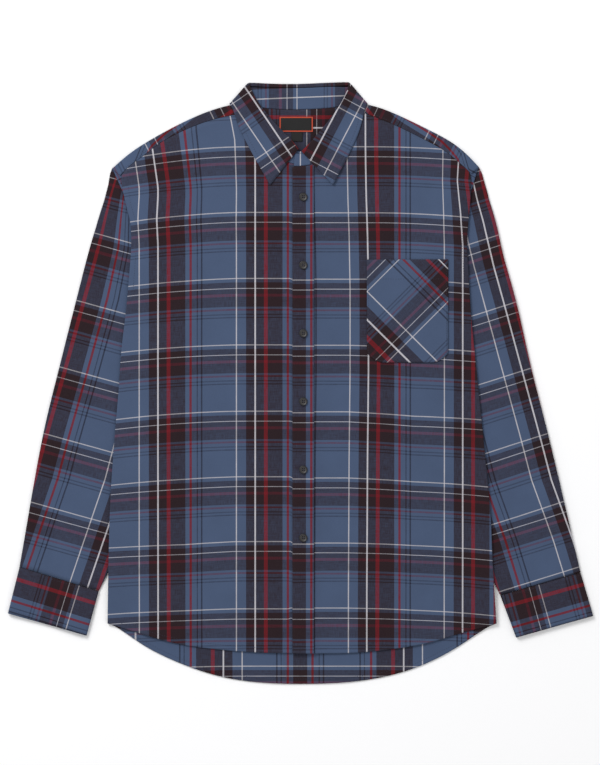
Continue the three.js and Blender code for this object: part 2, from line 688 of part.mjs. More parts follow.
// Sleeves and cuffs: flattened tubes, open at both ends
const RING_SHARES = shares(8);
const RING_TURNS = [-50, 0, 50].map(THREE.MathUtils.degToRad);

// One ring of a flattened tube across a patch. height gives the tube's height at a plan point.
function tubeRing(edges, up, { height, roundness }, inset) {
  const [from, to] = [edges.left(up), edges.right(up)];
  const width = from.distanceTo(to);
  const at = (aside, angle) => {
    const { x, y } = patchPoint(edges, aside / width, up);
    const tall = height(x, y, aside / width);
    return new THREE.Vector3(x, y, tall / 2 + (tall / 2 - inset) * Math.sin(angle));
  };
  const flat = (share) => roundness + share * (width - 2 * roundness);
  const bend = roundness - inset;
  return [
    ...RING_SHARES.map((share) => at(flat(share), -Math.PI / 2)),
    ...RING_TURNS.map((angle) => at(width - roundness + bend * Math.cos(angle), angle)),
    ...[...RING_SHARES].reverse().map((share) => at(flat(share), Math.PI / 2)),
    ...[...RING_TURNS].reverse().map((angle) => at(roundness - bend * Math.cos(angle), angle)),
  ];
}

function tube(edges, ringShares, form) {
  const outer = ringShares.map((up) => tubeRing(edges, up, form, 0));
  const inner = ringShares.map((up) => tubeRing(edges, up, form, form.wall));
  return wallBetween(outer, inner, { ring: true });
}

const PUFF_FROM = 5; // distance beyond the body at which a sleeve starts to puff
const PUFF_OVER = 45;
const SLEEVE_FOLD_OVER = 14; // distance beyond the body over which its folds grow
const SLEEVE_EDGE_SHARE = 6; // folds die out over the last sixth of the width

// Sleeve height: pressed flat under the body, puffed beyond it, with soft folds away from its edges
function sleeveHeight(x, y, across) {
  const beyond = -depthInside(bodyOutline, x, y);
  const puff = (SLEEVE_PUFF - SLEEVE_FLAT) * smoothStep((beyond - PUFF_FROM) / PUFF_OVER);
  const fromEdge = smoothStep(SLEEVE_EDGE_SHARE * Math.min(across, 1 - across));
  const folds = foldHeight(SLEEVE_FOLDS, x, y) * fromEdge * smoothStep(beyond / SLEEVE_FOLD_OVER);
  return SLEEVE_FLAT + puff + folds;
}

// A sleeve's patch runs from the armhole to the cuff, so its edges are those of the outline turned to suit
function buildSleeve(name, { low, high, left, right }) {
  const form = { wall: CLOTH, height: sleeveHeight, roundness: SLEEVE_FLAT / 2 + 0.2 };
  addPiece(name, tube({ low, high, left, right }, shares(18), form), CLOTH_DARK);
}

function buildCuff(name, { seamOuter, seamInner, handOuter, handInner }) {
  const edges = {
    low: (share) => plan(seamOuter).lerp(plan(seamInner), share),
    high: (share) => plan(handOuter).lerp(plan(handInner), share),
    left: (share) => plan(seamOuter).lerp(plan(handOuter), share),
    right: (share) => plan(seamInner).lerp(plan(handInner), share),
  };
  const form = { wall: CUFF_WALL, height: () => CUFF_HEIGHT, roundness: CUFF_HEIGHT / 2 };
  addPiece(name, tube(edges, shares(4), form), CLOTH_DARK);
}

// Collar

const TURN_STEPS = [-0.5, -0.3, -0.17, -0.07, 0.03, 0.15, 0.3, 0.5];

// Stations along the collar between two of them, finer through the half turns at the shoulders
function collarStations(from, to) {
  const whole = COLLAR.map((row, k) => k).filter((k) => !STATION_TURNS.includes(k));
  const turns = STATION_TURNS.flatMap((station) => TURN_STEPS.map((step) => station + step));
  const ends = [0.5, COLLAR.length - 1.5];
  const inRange = [...whole, ...turns, ...ends].filter((station) => station > from && station < to);
  return [from, ...inRange.sort((a, b) => a - b), to];
}

// The leaf in section: tucked in over the stand, round the roll and out to its free edge
const ROLL_ANGLES = [90, 45, 0, -45, -90].map(THREE.MathUtils.degToRad);
const FALL_SHARES = [0.12, 0.3, 0.5, 0.75, 1];

function leafSection(station, inset) {
  const { x, y } = atStation(fallCurve, station).sub(atStation(rollCurve, station));
  const fall = Math.hypot(x, y);
  const bend = COLLAR_ROLL - inset;
  const section = [[COLLAR_ROLL + COLLAR_TUCK, 2 * COLLAR_ROLL - inset]];
  for (const angle of ROLL_ANGLES) {
    section.push([COLLAR_ROLL - bend * Math.cos(angle), COLLAR_ROLL + bend * Math.sin(angle)]);
  }
  for (const share of FALL_SHARES) {
    section.push([COLLAR_ROLL + share * (fall - COLLAR_ROLL), inset]);
  }
  return section.map(([distance, depth]) => collarPoint(station, distance, depth));
}

function buildLeaf() {
  const stations = collarStations(1, COLLAR.length - 2);
  const [outer, inner] = [0, CLOTH].map((inset) => stations.map((station) => leafSection(station, inset)));
  addPiece('collar_leaf', wallBetween(outer, inner), CLOTH_DARK);
}

// The stand in section: from just below the leaf's tuck down to the neck seam. Past the ends of the leaf
// its top edge comes out from under the roll.
function standSection(station, inset) {
  const crown = crownAt(station);
  const top = crown * (COLLAR_ROLL + COLLAR_TUCK + 3 * GAP + 1.5 * turnRoom(station));
  const seam = seamDistance(station);
  const rise = crown * (2 * COLLAR_ROLL - CLOTH - NECK_LIFT);
  return shares(4).map((share) => {
    const depth = NECK_LIFT + rise * smoothStep(1 - share);
    return collarPoint(station, top + share * (seam - top), depth + inset);
  });
}

function buildStand() {
  const stations = collarStations(0, COLLAR.length - 1);
  const [outer, inner] = [0, CLOTH].map((inset) => stations.map((station) => standSection(station, inset)));
  addPiece('collar_stand', wallBetween(outer, inner), CLOTH_BLUE);
}

// What lies on the panels

function leftFrontTop(x, y) {
  return leftFrontUnder(x, y) + hemThickness(frontHemY)(x, y);
}

function buildPlacket() {
  const topFrom = neckEdge(COLLAR.length - 1);
  const topTo = neckEdge(COLLAR.length - 2);
  const rows = panelRows(FRONT_ROWS, topFrom.y - HEM_CORNER_Y);
  const grid = rows.map((up) => shares(2).map((across) => {
    const x = PLACKET_FROM + across * (PLACKET_TO - PLACKET_FROM);
    const top = topFrom.y + (topTo.y - topFrom.y) * across - 4 * GAP;
    return new THREE.Vector2(x, frontHemY(x) + up * (top - frontHemY(x)));
  }));
  addPiece('placket', layCloth(grid, (x, y) => leftFrontTop(x, y) + GAP), CLOTH_SLATE);
}

function buildPocket() {
  const { left, right, top, bottom, cutAcross, cutUp } = POCKET;
  const rows = [0, cutUp / (top - bottom), ...shares(9).slice(1)];
  const grid = rows.map((up) => shares(8).map((across) => {
    const cut = up === 0 ? cutAcross : 0;
    return new THREE.Vector2(left + cut + across * (right - left - 2 * cut), bottom + up * (top - bottom));
  }));
  addPiece('pocket', layCloth(grid, (x, y) => leftFrontTop(x, y) + 2 * GAP), CLOTH_BLUE);
}

function buildLabel(name, { left, right, top, bottom, thick }) {
  const grid = shares(4).map((up) => shares(5).map((across) =>
    new THREE.Vector2(left + across * (right - left), bottom + up * (top - bottom))));
  const under = (x, y) => backUnder(x, y) + CLOTH + GAP;
  addPiece(name, layCloth(grid, under, () => thick), LABEL_COLOUR, 0.8);
}

// A flat shirt button with a raised rim
function buildButton(name, y) {
  const radius = BUTTON_ACROSS / 2;
  const section = [
    [0, 0], [radius * 0.7, 0], [radius, BUTTON_HEIGHT * 0.5], [radius * 0.88, BUTTON_HEIGHT],
    [radius * 0.7, BUTTON_HEIGHT * 0.78], [0, BUTTON_HEIGHT * 0.78],
  ];
  const geometry = new THREE.LatheGeometry(section.map(([x, z]) => new THREE.Vector2(x, z)), 14);
  geometry.rotateX(Math.PI / 2);
  geometry.translate(BUTTON_X, y, leftFrontTop(BUTTON_X, y) + CLOTH + 2 * GAP);
  addPiece(name, geometry, BUTTON_COLOUR, 0.45);
}

buildBack();
buildFront('front_right', {
  edgeX: edgeRightX, seamRows: YOKE_SEAM_RIGHT, stations: RIGHT_NECK_STATIONS,
  middleX: LAP_UNDER, under: frontUnder,
});
buildFront('front_left', {
  edgeX: edgeLeftX, seamRows: YOKE_SEAM_LEFT, stations: LEFT_NECK_STATIONS,
  middleX: PLACKET_FROM, under: leftFrontUnder,
});
buildYoke();
sleeveShapes.forEach((edges, k) => buildSleeve(['sleeve_right', 'sleeve_left'][k], edges));
buildCuff('cuff_right', CUFF_RIGHT);
buildCuff('cuff_left', CUFF_LEFT);
buildStand();
buildLeaf();
buildPlacket();
buildPocket();
for (let k = 0; k < BUTTON_COUNT; k += 1) {
  buildButton(`button_${k + 1}`, BUTTON_TOP_Y - k * BUTTON_PITCH);
}
buildLabel('label', LABEL);
buildLabel('size_tab', SIZE_TAB);

export default shirt;
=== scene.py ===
import math

import bmesh
import bpy
import numpy as np
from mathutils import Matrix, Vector
from mathutils.bvhtree import BVHTree


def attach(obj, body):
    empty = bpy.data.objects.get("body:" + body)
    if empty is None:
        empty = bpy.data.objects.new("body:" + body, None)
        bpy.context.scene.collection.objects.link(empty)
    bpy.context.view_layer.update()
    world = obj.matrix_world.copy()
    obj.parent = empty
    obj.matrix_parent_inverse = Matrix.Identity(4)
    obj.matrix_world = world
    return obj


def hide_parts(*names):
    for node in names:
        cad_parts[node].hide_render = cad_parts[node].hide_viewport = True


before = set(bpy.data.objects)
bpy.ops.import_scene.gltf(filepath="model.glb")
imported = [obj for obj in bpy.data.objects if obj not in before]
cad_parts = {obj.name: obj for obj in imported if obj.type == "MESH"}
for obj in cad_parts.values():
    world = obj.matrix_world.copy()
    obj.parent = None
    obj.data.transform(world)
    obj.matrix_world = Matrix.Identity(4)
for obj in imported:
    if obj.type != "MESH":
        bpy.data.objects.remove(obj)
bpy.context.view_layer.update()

MM = 0.001
SEED = 4
# Metres above the floor from which rays look down on the pieces
RAY_FROM = 0.1

# The woven check: one repeat of the warp and of the weft
WARP_REPEAT = 133.9
WEFT_REPEAT = 91.2

# Yarn colours, as sRGB from 0 to 255
YARN = {
    "blue": (65, 80, 107),
    "dark": (32, 16, 21),
    "white": (186, 183, 188),
    "red": (108, 8, 18),
    "wine": (88, 14, 30),
    "navy": (26, 28, 44),
}

# Stripes of one warp repeat: where each starts, its yarn and how strongly it covers what it crosses
WARP_STRIPES = [
    {"start": 0.0, "yarn": "white", "cover": 0.42},
    {"start": 1.15, "yarn": "blue", "cover": 0.2},
    {"start": 13.6, "yarn": "dark", "cover": 0.39},
    {"start": 25.6, "yarn": "white", "cover": 0.9},
    {"start": 27.5, "yarn": "dark", "cover": 0.39},
    {"start": 38.6, "yarn": "red", "cover": 0.6},
    {"start": 43.6, "yarn": "dark", "cover": 0.39},
    {"start": 64.0, "yarn": "blue", "cover": 0.2},
    {"start": 69.9, "yarn": "red", "cover": 0.5},
    {"start": 73.2, "yarn": "blue", "cover": 0.2},
    {"start": 79.6, "yarn": "navy", "cover": 0.16},
    {"start": 81.4, "yarn": "blue", "cover": 0.2},
    {"start": 85.4, "yarn": "navy", "cover": 0.36},
    {"start": 87.4, "yarn": "blue", "cover": 0.2},
]
WEFT_STRIPES = [
    {"start": 0.0, "yarn": "white", "cover": 0.32},
    {"start": 1.4, "yarn": "blue", "cover": 0.13},
    {"start": 5.8, "yarn": "dark", "cover": 0.3},
    {"start": 13.8, "yarn": "white", "cover": 0.24},
    {"start": 14.8, "yarn": "dark", "cover": 0.3},
    {"start": 21.6, "yarn": "wine", "cover": 0.2},
    {"start": 25.6, "yarn": "dark", "cover": 0.3},
    {"start": 39.4, "yarn": "blue", "cover": 0.2},
    {"start": 42.2, "yarn": "wine", "cover": 0.13},
    {"start": 44.6, "yarn": "blue", "cover": 0.13},
    {"start": 49.0, "yarn": "navy", "cover": 0.13},
    {"start": 50.6, "yarn": "blue", "cover": 0.13},
    {"start": 53.4, "yarn": "navy", "cover": 0.15},
    {"start": 55.2, "yarn": "blue", "cover": 0.13},
]

# Where each panel's cut starts in the check: x of a thin white warp line, and the panel's own repeat
FRONT_RIGHT_CUT = {"white_x": -223.1, "repeat": 133.9}
FRONT_LEFT_CUT = {"white_x": 66.2, "repeat": 131.1}
PLACKET_CUT = {"white_x": -56.9, "lower": 1.3}
BODY_WHITE_Y = 326.5
BACK_WHITE_Y = -389.8
BACK_WHITE_X = {"right": 54.1, "pleat": -55.1, "left": 169.0}
BACK_PLEAT = (-1.3, 45.0)
BACK_TURN = [
    {"x": -250, "cut_x": -229},
    {"x": -190, "cut_x": -190},
    {"x": 250, "cut_x": 250},
]

# How far the weft droops towards the body's sides, and the share of its width where that stops growing
BODY_HALF = 250.0
DROOP_FROM = {"right": 70.0, "left": 100.0}
DROOP_UP_TO = 1.2
DROOP = [
    {"y": 400, "right": 24, "left": 8},
    {"y": 320, "right": 20, "left": 8},
    {"y": 230, "right": 15.2, "left": 9},
    {"y": 128, "right": 11.7, "left": 8.5},
    {"y": 45, "right": 10.2, "left": 6.7},
    {"y": -52, "right": 10.8, "left": 5.7},
    {"y": -145, "right": 9.3, "left": 7.4},
    {"y": -232, "right": 4.7, "left": 7.1},
    {"y": -318, "right": 5.4, "left": 7.1},
    {"y": -354, "right": 5.5, "left": 4.5},
]

# How far the weft lies above an even level near the middle, how far the left front is pulled below it, and
# the x between which each of these comes in. middle is where the right front ends.
WEFT_LIFT = [
    {"y": 300, "right": 0, "left": 0, "pulled": 0},
    {"y": 217, "right": 1.0, "left": 0.2, "pulled": 0},
    {"y": 128, "right": 0.9, "left": -0.2, "pulled": 0},
    {"y": 45, "right": 0.5, "left": 0, "pulled": 2.9},
    {"y": -52, "right": 0.3, "left": -0.6, "pulled": 5.4},
    {"y": -145, "right": 1.3, "left": -0.5, "pulled": 4.2},
    {"y": -232, "right": 3.3, "left": 1.2, "pulled": 2.4},
    {"y": -318, "right": 1.2, "left": 2.6, "pulled": 2.1},
    {"y": -354, "right": 0, "left": 0, "pulled": 0},
]
WEFT_LIFT_AT = {"right": (-160.0, -90.0), "middle": -14.0, "pulled": (65.0, 155.0)}

# How far the warp leans out: the right front at its side and under the collar, the left front at its side
# and beside the placket
LEAN_RIGHT = [
    {"y": 400, "out": 15},
    {"y": 348, "out": 11.5},
    {"y": 290, "out": 3.0},
    {"y": 266, "out": -0.5},
    {"y": 225, "out": 1.8},
    {"y": 190, "out": 0},
    {"y": -316, "out": 0},
    {"y": -355, "out": -6.6},
]
LEAN_COLLAR = [
    {"y": 400, "out": 18},
    {"y": 367, "out": 8.3},
    {"y": 335, "out": 2.2},
    {"y": 306, "out": 0},
]
LEAN_LEFT = [
    {"y": 400, "out": 5},
    {"y": 305, "out": 7},
    {"y": 279, "out": 9.5},
    {"y": 236, "out": 3.6},
    {"y": 190, "out": 0},
]
LEAN_PLACKET = [
    {"y": 330, "out": 2.9},
    {"y": 300, "out": 2.6},
    {"y": 252, "out": 1.6},
    {"y": 204, "out": 0},
    {"y": 130, "out": -1.3},
    {"y": 17, "out": -1.3},
    {"y": -100, "out": 0},
    {"y": -290, "out": 1.0},
]
# The lean beside the placket fades out between these x. The others begin this far out and grow over a width.
PLACKET_SIDE = (100.0, 130.0)
LEAN_FROM = {"right": 60.0, "left": 186.0}
LEAN_WIDTH = {"right": 130.0, "left": 38.0}

# A warp line of each sleeve and how much the cloth is foreshortened beside it
SLEEVE_RIGHT_LINE = [
    {"y": 287.0, "x": -237.0, "turned": 2.0},
    {"y": 273.5, "x": -240.3, "turned": 1.9},
    {"y": 256.8, "x": -243.9, "turned": 1.76},
    {"y": 228.0, "x": -247.0, "turned": 1.45},
    {"y": 186.0, "x": -250.5, "turned": 1.13},
    {"y": 114.7, "x": -266.0, "turned": 1.0},
    {"y": 13.2, "x": -293.7, "turned": 1.0},
    {"y": -78.5, "x": -319.8, "turned": 1.0},
    {"y": -132.3, "x": -334.0, "turned": 1.0},
    {"y": -255.2, "x": -375.9, "turned": 1.0},
    {"y": -300.0, "x": -391.2, "turned": 1.0},
]
SLEEVE_LEFT_LINE = [
    {"y": 286.0, "x": 236.2, "turned": 1.25},
    {"y": 252.6, "x": 243.5, "turned": 1.15},
    {"y": 224.0, "x": 251.5, "turned": 1.05},
    {"y": 197.0, "x": 257.7, "turned": 1.0},
    {"y": 160.0, "x": 266.5, "turned": 1.0},
    {"y": 114.7, "x": 279.0, "turned": 1.0},
    {"y": 11.7, "x": 306.8, "turned": 1.0},
    {"y": -78.5, "x": 331.2, "turned": 1.0},
    {"y": -133.7, "x": 345.6, "turned": 1.0},
    {"y": -216.5, "x": 375.4, "turned": 1.0},
    {"y": -260.7, "x": 389.0, "turned": 1.0},
    {"y": -300.0, "x": 401.0, "turned": 1.0},
]

# The sleeves' lean, the warp at that line, where a white weft line crosses, the weft's own repeat, and the
# least that the warp counts
SLEEVE_LEAN = {"right": math.radians(15.3), "left": math.radians(17.5)}
SLEEVE_LINE_AT = {"right": 72.5, "left": 26.6}
SLEEVE_WHITE = {"right": -28.9, "left": -16.4}
SLEEVE_WEFT = {"right": 93.7, "left": 92.2}
SLEEVE_WARP_FROM = {"right": 28.0, "left": -WARP_REPEAT}

# How far the sleeves' weft lies above an even spacing
SLEEVE_WEFT_LIFT = [
    {"y": 197, "right": 2.8, "left": 5.0},
    {"y": 107, "right": 0.2, "left": 1.6},
    {"y": 5, "right": -0.6, "left": 0.5},
    {"y": -85, "right": -1.3, "left": -0.1},
    {"y": -185, "right": -3.9, "left": -4.9},
    {"y": -278, "right": -3.8, "left": -3.9},
]

# Cuffs: both ends of the seam, the warp at the seam, and where a white weft line crosses and which way
# the weft counts from there. The white warp line at the seam is sewn in.
CUFFS = {
    "right": {
        "outer": (-387.9, -253.55),
        "inner": (-278.1, -287.35),
        "warp": 24.5,
        "white": 87.5,
        "way": -1,
    },
    "left": {
        "outer": (386.5, -261.45),
        "inner": (275.1, -292.95),
        "warp": 25.0,
        "white": 59.8,
        "way": 1,
    },
}
CUFF_WARP_FROM = 28.0

# Collar leaf: a thick white warp line runs along the roll of each side. The weft runs on from one side
# to the other, so it counts up towards the right point and down towards the left one.
LEAF = {
    "right": {
        "line": (-77.6, 408.9),
        "along": (0.56, -0.828),
        "out": (-0.828, -0.56),
        "white": 91.5,
        "way": 0.95,
    },
    "left": {
        "line": (69.2, 412.1),
        "along": (-0.465, -0.885),
        "out": (0.885, -0.465),
        "white": 37.1,
        "way": -0.94,
    },
}
THICK_WHITE = 26.6
LEAF_WEFT_FROM = -89.0
LEAF_BACK_WARP = THICK_WHITE + 7.0
LEAF_BACK_Y = 404.0
LEAF_BACK_HALF = 68.0

# Yoke: a red line of its warp and a white line of its weft, and the least that the warp counts. Each front
# strip has its own slant, from the neck to the tip of the shoulder.
YOKE_RED_Y = 366.5
YOKE_RED_AT = 41.1
YOKE_WHITE_X = 7.9
YOKE_WARP_FROM = 15.0
SHOULDERS = {
    "right": {"neck": (-97.6, 382.6), "tip": (-240.9, 312.7), "white": 28.7, "way": -0.913},
    "left": {"neck": (91.7, 383.9), "tip": (227.2, 317.5), "white": 92.0, "way": 1.0},
}
# The thin red warp line of each front strip: how far it lies below the straight shoulder
SHOULDER_RED_AT = 71.5
SHOULDER_RED = {
    "right": [
        {"along": 0, "below": -22},
        {"along": 50, "below": -14},
        {"along": 78, "below": -7.5},
        {"along": 93, "below": -5.5},
        {"along": 115, "below": 1},
        {"along": 124, "below": 4.2},
        {"along": 134, "below": 12},
        {"along": 165, "below": 40},
    ],
    "left": [
        {"along": 0, "below": -25},
        {"along": 40, "below": -9},
        {"along": 54, "below": -6.6},
        {"along": 91, "below": -3.3},
        {"along": 115, "below": 0.4},
        {"along": 132, "below": 6.4},
        {"along": 146, "below": 13.1},
        {"along": 165, "below": 34},
    ],
}
# A strip starts this far inside the end of the neck, and reaches this far to both sides of its shoulder
SHOULDER_LAP = 8.0
SHOULDER_REACH = 60.0

# Collar stand: white lines of its back, and of the short end that shows in front
STAND_WHITE_Y = 393.1
STAND_TILT = 0.04
STAND_WHITE_X = -4.2
STAND_FRONT_Y = 352.0
TAB_WHITE_X = -1.0
STAND_FRONT_WEFT = 60.0

# The pocket is cut on the bias and pulled: its warp at distances below and left of a thin white line
POCKET_LINE = (92.1, 125.7)
POCKET_WARP = [
    {"down": -116.0, "warp": -127.1},
    {"down": -101.0, "warp": -107.3},
    {"down": -67.0, "warp": -62.4},
    {"down": 0.0, "warp": 0.8},
    {"down": 27.2, "warp": 26.6},
    {"down": 45.0, "warp": 41.1},
    {"down": 80.0, "warp": 70.0},
]
POCKET_WEFT_LINE = (136.3, 169.9)
POCKET_WEFT_AT = 91.2
POCKET_WEFT_REPEAT = 88.6

# Warp and weft change by less than this inside a face, unless the check jumps there
CHECK_JUMP = 25.0

# Soft folds, uneven in length, depth and spacing. height is negative for a trough.
FOLDS = [
    {"from": (-262, 270), "to": (-246, 150), "height": 0.9, "width": 9},
    {"from": (-236, 256), "to": (-214, 150), "height": -0.8, "width": 10},
    {"from": (-222, 176), "to": (-150, 96), "height": 0.7, "width": 13},
    {"from": (-226, 128), "to": (-176, 84), "height": -0.6, "width": 9},
    {"from": (-196, 300), "to": (-128, 232), "height": 0.6, "width": 18},
    {"from": (222, 280), "to": (216, 178), "height": 1.0, "width": 8},
    {"from": (206, 262), "to": (202, 158), "height": -0.8, "width": 8},
    {"from": (226, 166), "to": (166, 92), "height": 0.7, "width": 12},
    {"from": (228, 112), "to": (190, 74), "height": -0.5, "width": 8},
    {"from": (176, 300), "to": (120, 244), "height": 0.5, "width": 18},
    {"from": (-64, 262), "to": (-96, 150), "height": 0.5, "width": 20},
    {"from": (56, 262), "to": (76, 196), "height": 0.4, "width": 16},
    {"from": (-28, 190), "to": (-14, 60), "height": -0.4, "width": 12},
    {"from": (24, 150), "to": (34, 20), "height": 0.4, "width": 12},
    {"from": (-240, -20), "to": (-130, -76), "height": 0.5, "width": 20},
    {"from": (-248, -150), "to": (-170, -128), "height": -0.5, "width": 17},
    {"from": (242, -40), "to": (146, -96), "height": 0.5, "width": 18},
    {"from": (252, -176), "to": (186, -150), "height": -0.4, "width": 15},
    {"from": (-120, -100), "to": (-150, -250), "height": 0.5, "width": 26},
    {"from": (-40, -130), "to": (-30, -290), "height": -0.4, "width": 18},
    {"from": (60, -110), "to": (84, -260), "height": 0.5, "width": 24},
    {"from": (150, -200), "to": (170, -330), "height": 0.5, "width": 20},
    {"from": (-196, -240), "to": (-206, -340), "height": 0.5, "width": 18},
    {"from": (-290, 190), "to": (-262, 96), "height": -0.8, "width": 9},
    {"from": (-300, 96), "to": (-262, 20), "height": 0.8, "width": 11},
    {"from": (-312, 20), "to": (-268, -50), "height": -0.6, "width": 12},
    {"from": (-344, -30), "to": (-300, -86), "height": 0.7, "width": 10},
    {"from": (-352, -120), "to": (-302, -140), "height": -0.6, "width": 9},
    {"from": (-366, -166), "to": (-318, -204), "height": 0.7, "width": 9},
    {"from": (-374, -232), "to": (-356, -196), "height": 0.8, "width": 6},
    {"from": (-344, -252), "to": (-336, -210), "height": -0.8, "width": 7},
    {"from": (-318, -262), "to": (-314, -226), "height": 0.7, "width": 6},
    {"from": (-296, -270), "to": (-290, -240), "height": -0.5, "width": 6},
    {"from": (268, 216), "to": (252, 110), "height": -0.7, "width": 9},
    {"from": (290, 110), "to": (256, 34), "height": 0.8, "width": 11},
    {"from": (304, 30), "to": (262, -44), "height": -0.6, "width": 12},
    {"from": (332, -36), "to": (288, -92), "height": 0.7, "width": 10},
    {"from": (342, -126), "to": (292, -150), "height": -0.6, "width": 9},
    {"from": (360, -176), "to": (312, -208), "height": 0.7, "width": 9},
    {"from": (372, -238), "to": (358, -204), "height": 0.8, "width": 6},
    {"from": (346, -254), "to": (338, -214), "height": -0.8, "width": 7},
    {"from": (318, -266), "to": (314, -230), "height": 0.7, "width": 6},
    {"from": (296, -274), "to": (292, -246), "height": -0.5, "width": 6},
]
# A fold has its whole height this far above the floor, and fades out towards both of its ends
FOLD_FULL = 4.5
FOLD_FADE = {"middle": 1.5, "slope": 2.4}

# The cloth's slight unevenness: waves of many lengths and directions, at this height for the given length
WAVES = {"count": 26, "height": 0.075, "length": 60.0, "lengths": (26.0, 120.0)}

# The sleeve's fold comes out and up to the tip of the shoulder. inner and outer are the sleeve's own edges.
SLEEVE_HEADS = {
    "sleeve_right": [
        {"y": 296, "inner": 251.0, "outer": 252.0, "out": 9.0, "up": 1.0},
        {"y": 286, "inner": 248.5, "outer": 255.8, "out": 7.6, "up": 0.6},
        {"y": 275, "inner": 244.7, "outer": 259.9, "out": 4.8, "up": 0.0},
        {"y": 252, "inner": 236.7, "outer": 268.6, "out": 1.8, "up": 0.0},
        {"y": 214, "inner": 219.0, "outer": 283.0, "out": 0.0, "up": 0.0},
    ],
    "sleeve_left": [
        {"y": 293, "inner": 239.2, "outer": 240.0, "out": 7.2, "up": 5.5},
        {"y": 286, "inner": 237.5, "outer": 243.5, "out": 6.7, "up": 3.5},
        {"y": 275, "inner": 234.6, "outer": 249.1, "out": 4.6, "up": 1.5},
        {"y": 252, "inner": 228.6, "outer": 259.4, "out": 1.4, "up": 0.0},
        {"y": 214, "inner": 213.0, "outer": 269.5, "out": 1.4, "up": 0.0},
        {"y": 175, "inner": 200.0, "outer": 279.7, "out": 0.0, "up": 0.0},
    ],
}

# Outlines that the topstitching follows
FRONT_HEM = [
    (-264, -333), (-235, -341), (-190.8, -354.2), (-150, -363.2), (-68.8, -370.9), (23.7, -372.7),
    (79, -371.6), (127.2, -366.8), (171.6, -359.5), (227, -343.2), (268, -333),
]
BACK_HEM = [
    (-250, -338), (-216.6, -362.4), (-168.6, -385.7), (-113, -404.9), (-54, -413.8), (34.7, -414.8),
    (101.4, -408.6), (160.4, -392.7), (212.2, -367.2), (252, -340),
]
YOKE_SEAM_RIGHT = [(-240, 294), (-215.8, 313.7), (-188.7, 335.1), (-138.3, 358.2), (-103, 368)]
YOKE_SEAM_LEFT = [(226, 297), (198.2, 321.4), (169, 337), (140, 351.5), (96, 369)]
ARMHOLE_RIGHT = [(-246, 284), (-241.8, 249.4), (-233.6, 220.9), (-233.6, 183.7), (-238, 122)]
ARMHOLE_LEFT = [(234.5, 286), (234, 250), (229.4, 200.9), (231.1, 157.5), (234, 104)]
LEAF_FALL_RIGHT = [(-41.9, 273), (-52, 290.5), (-63, 309.5), (-74.5, 331), (-86.5, 355), (-92.5, 377)]
LEAF_FALL_LEFT = [(44.5, 273), (53, 289), (64, 309.5), (74.5, 331), (83.5, 353), (87.5, 374)]
LEAF_POINT_RIGHT = [(-41.9, 273), (-2.4, 323.1)]
LEAF_POINT_LEFT = [(44.5, 273), (1, 319.5)]
POCKET = {"left": 91.4, "right": 203.3, "top": 170.4, "bottom": 28.4, "cut": 15.0, "rise": 11.5, "hem": 27.0}

STITCH = {"long": 2.6, "pitch": 3.4, "half": 0.26, "rise": 0.3, "sink": 0.25, "most_step": 1.0}
# How far each row of stitches lies from its edge
HEM_STITCH = 6.2
POCKET_STITCH = {"edge": 2.2, "end": 1.0}
YOKE_STITCH = (1.2, 3.0)
ARMHOLE_STITCH = 7.0
LEAF_STITCH = 5.5
CUFF_STITCH_DEPTHS = (3.0, 60.0)
CUFF_STITCH_INSET = 3.0

# Buttons and buttonholes
BUTTON = {"x": 3.8, "top_y": 256.4, "pitch": 93.9, "count": 6, "radius": 5.75, "thick": 2.4}
BUTTON_HOLES = {"count": 4, "reach": 1.75, "radius": 0.85, "past": 1.0}
BUTTON_STEPS = {"rim": 40, "hole": 14}
# Half of a section through the button, as shares of its radius and its thickness
BUTTON_FACE_SHARE = 0.7
BUTTON_PROFILE = [
    (0, 0), (0.72, 0), (0.93, 0.22), (1, 0.55), (0.97, 0.85),
    (0.88, 1), (0.78, 0.95), (BUTTON_FACE_SHARE, 0.78), (0.5, 0.7), (0, 0.68),
]
BUTTON_GAP = 0.3
BUTTON_THREAD = {"up": 0.7, "half": 0.4, "rise": 0.35, "sink": 0.6}
BUTTONHOLE = {"long": 15.0, "aside": 0.9, "pitch": 0.8, "bar": 1.3}

# Neck label, blank, and the raised border round it
LABEL = {"left": -29.0, "right": 17.0, "top": 367.2, "bottom": 346.5, "border": 1.7}
LABEL_BORDER_FORM = {"raise": 0.35, "sink": 0.2, "within": 0.3, "steps": 8}

# Flat cut of each piece of cloth: width and length of the box that it is cut from, its area, what it lies on
CUTS = {
    "back": {"flat": (0.56, 0.70), "area": 0.33, "on": ["sleeve_left_cloth", "sleeve_right_cloth"]},
    "front_right": {"flat": (0.29, 0.76), "area": 0.187, "on": ["back_cloth"]},
    "front_left": {"flat": (0.29, 0.76), "area": 0.18, "on": ["back_cloth", "front_right_cloth"]},
    "yoke": {"flat": (0.51, 0.15), "area": 0.055, "on": ["back_cloth"]},
    "sleeve_right": {"flat": (0.40, 0.60), "area": 0.15, "on": ["floor"]},
    "sleeve_left": {"flat": (0.40, 0.60), "area": 0.14, "on": ["floor"]},
    "cuff_right": {"flat": (0.235, 0.066), "area": 0.0152, "on": ["floor"]},
    "cuff_left": {"flat": (0.235, 0.066), "area": 0.0152, "on": ["floor"]},
    "collar_stand": {"flat": (0.45, 0.04), "area": 0.0113, "on": ["yoke_cloth"]},
    "collar_leaf": {"flat": (0.46, 0.075), "area": 0.0225, "on": ["front_left_cloth", "front_right_cloth"]},
    "placket": {"flat": (0.03, 0.68), "area": 0.0204, "on": ["front_left_cloth"]},
    "pocket": {"flat": (0.112, 0.142), "area": 0.0158, "on": ["front_left_cloth"]},
    "label": {"flat": (0.046, 0.0207), "area": 0.00095, "on": ["yoke_cloth"]},
    "size_tab": {"flat": (0.0154, 0.0129), "area": 0.00019, "on": ["yoke_cloth"]},
}

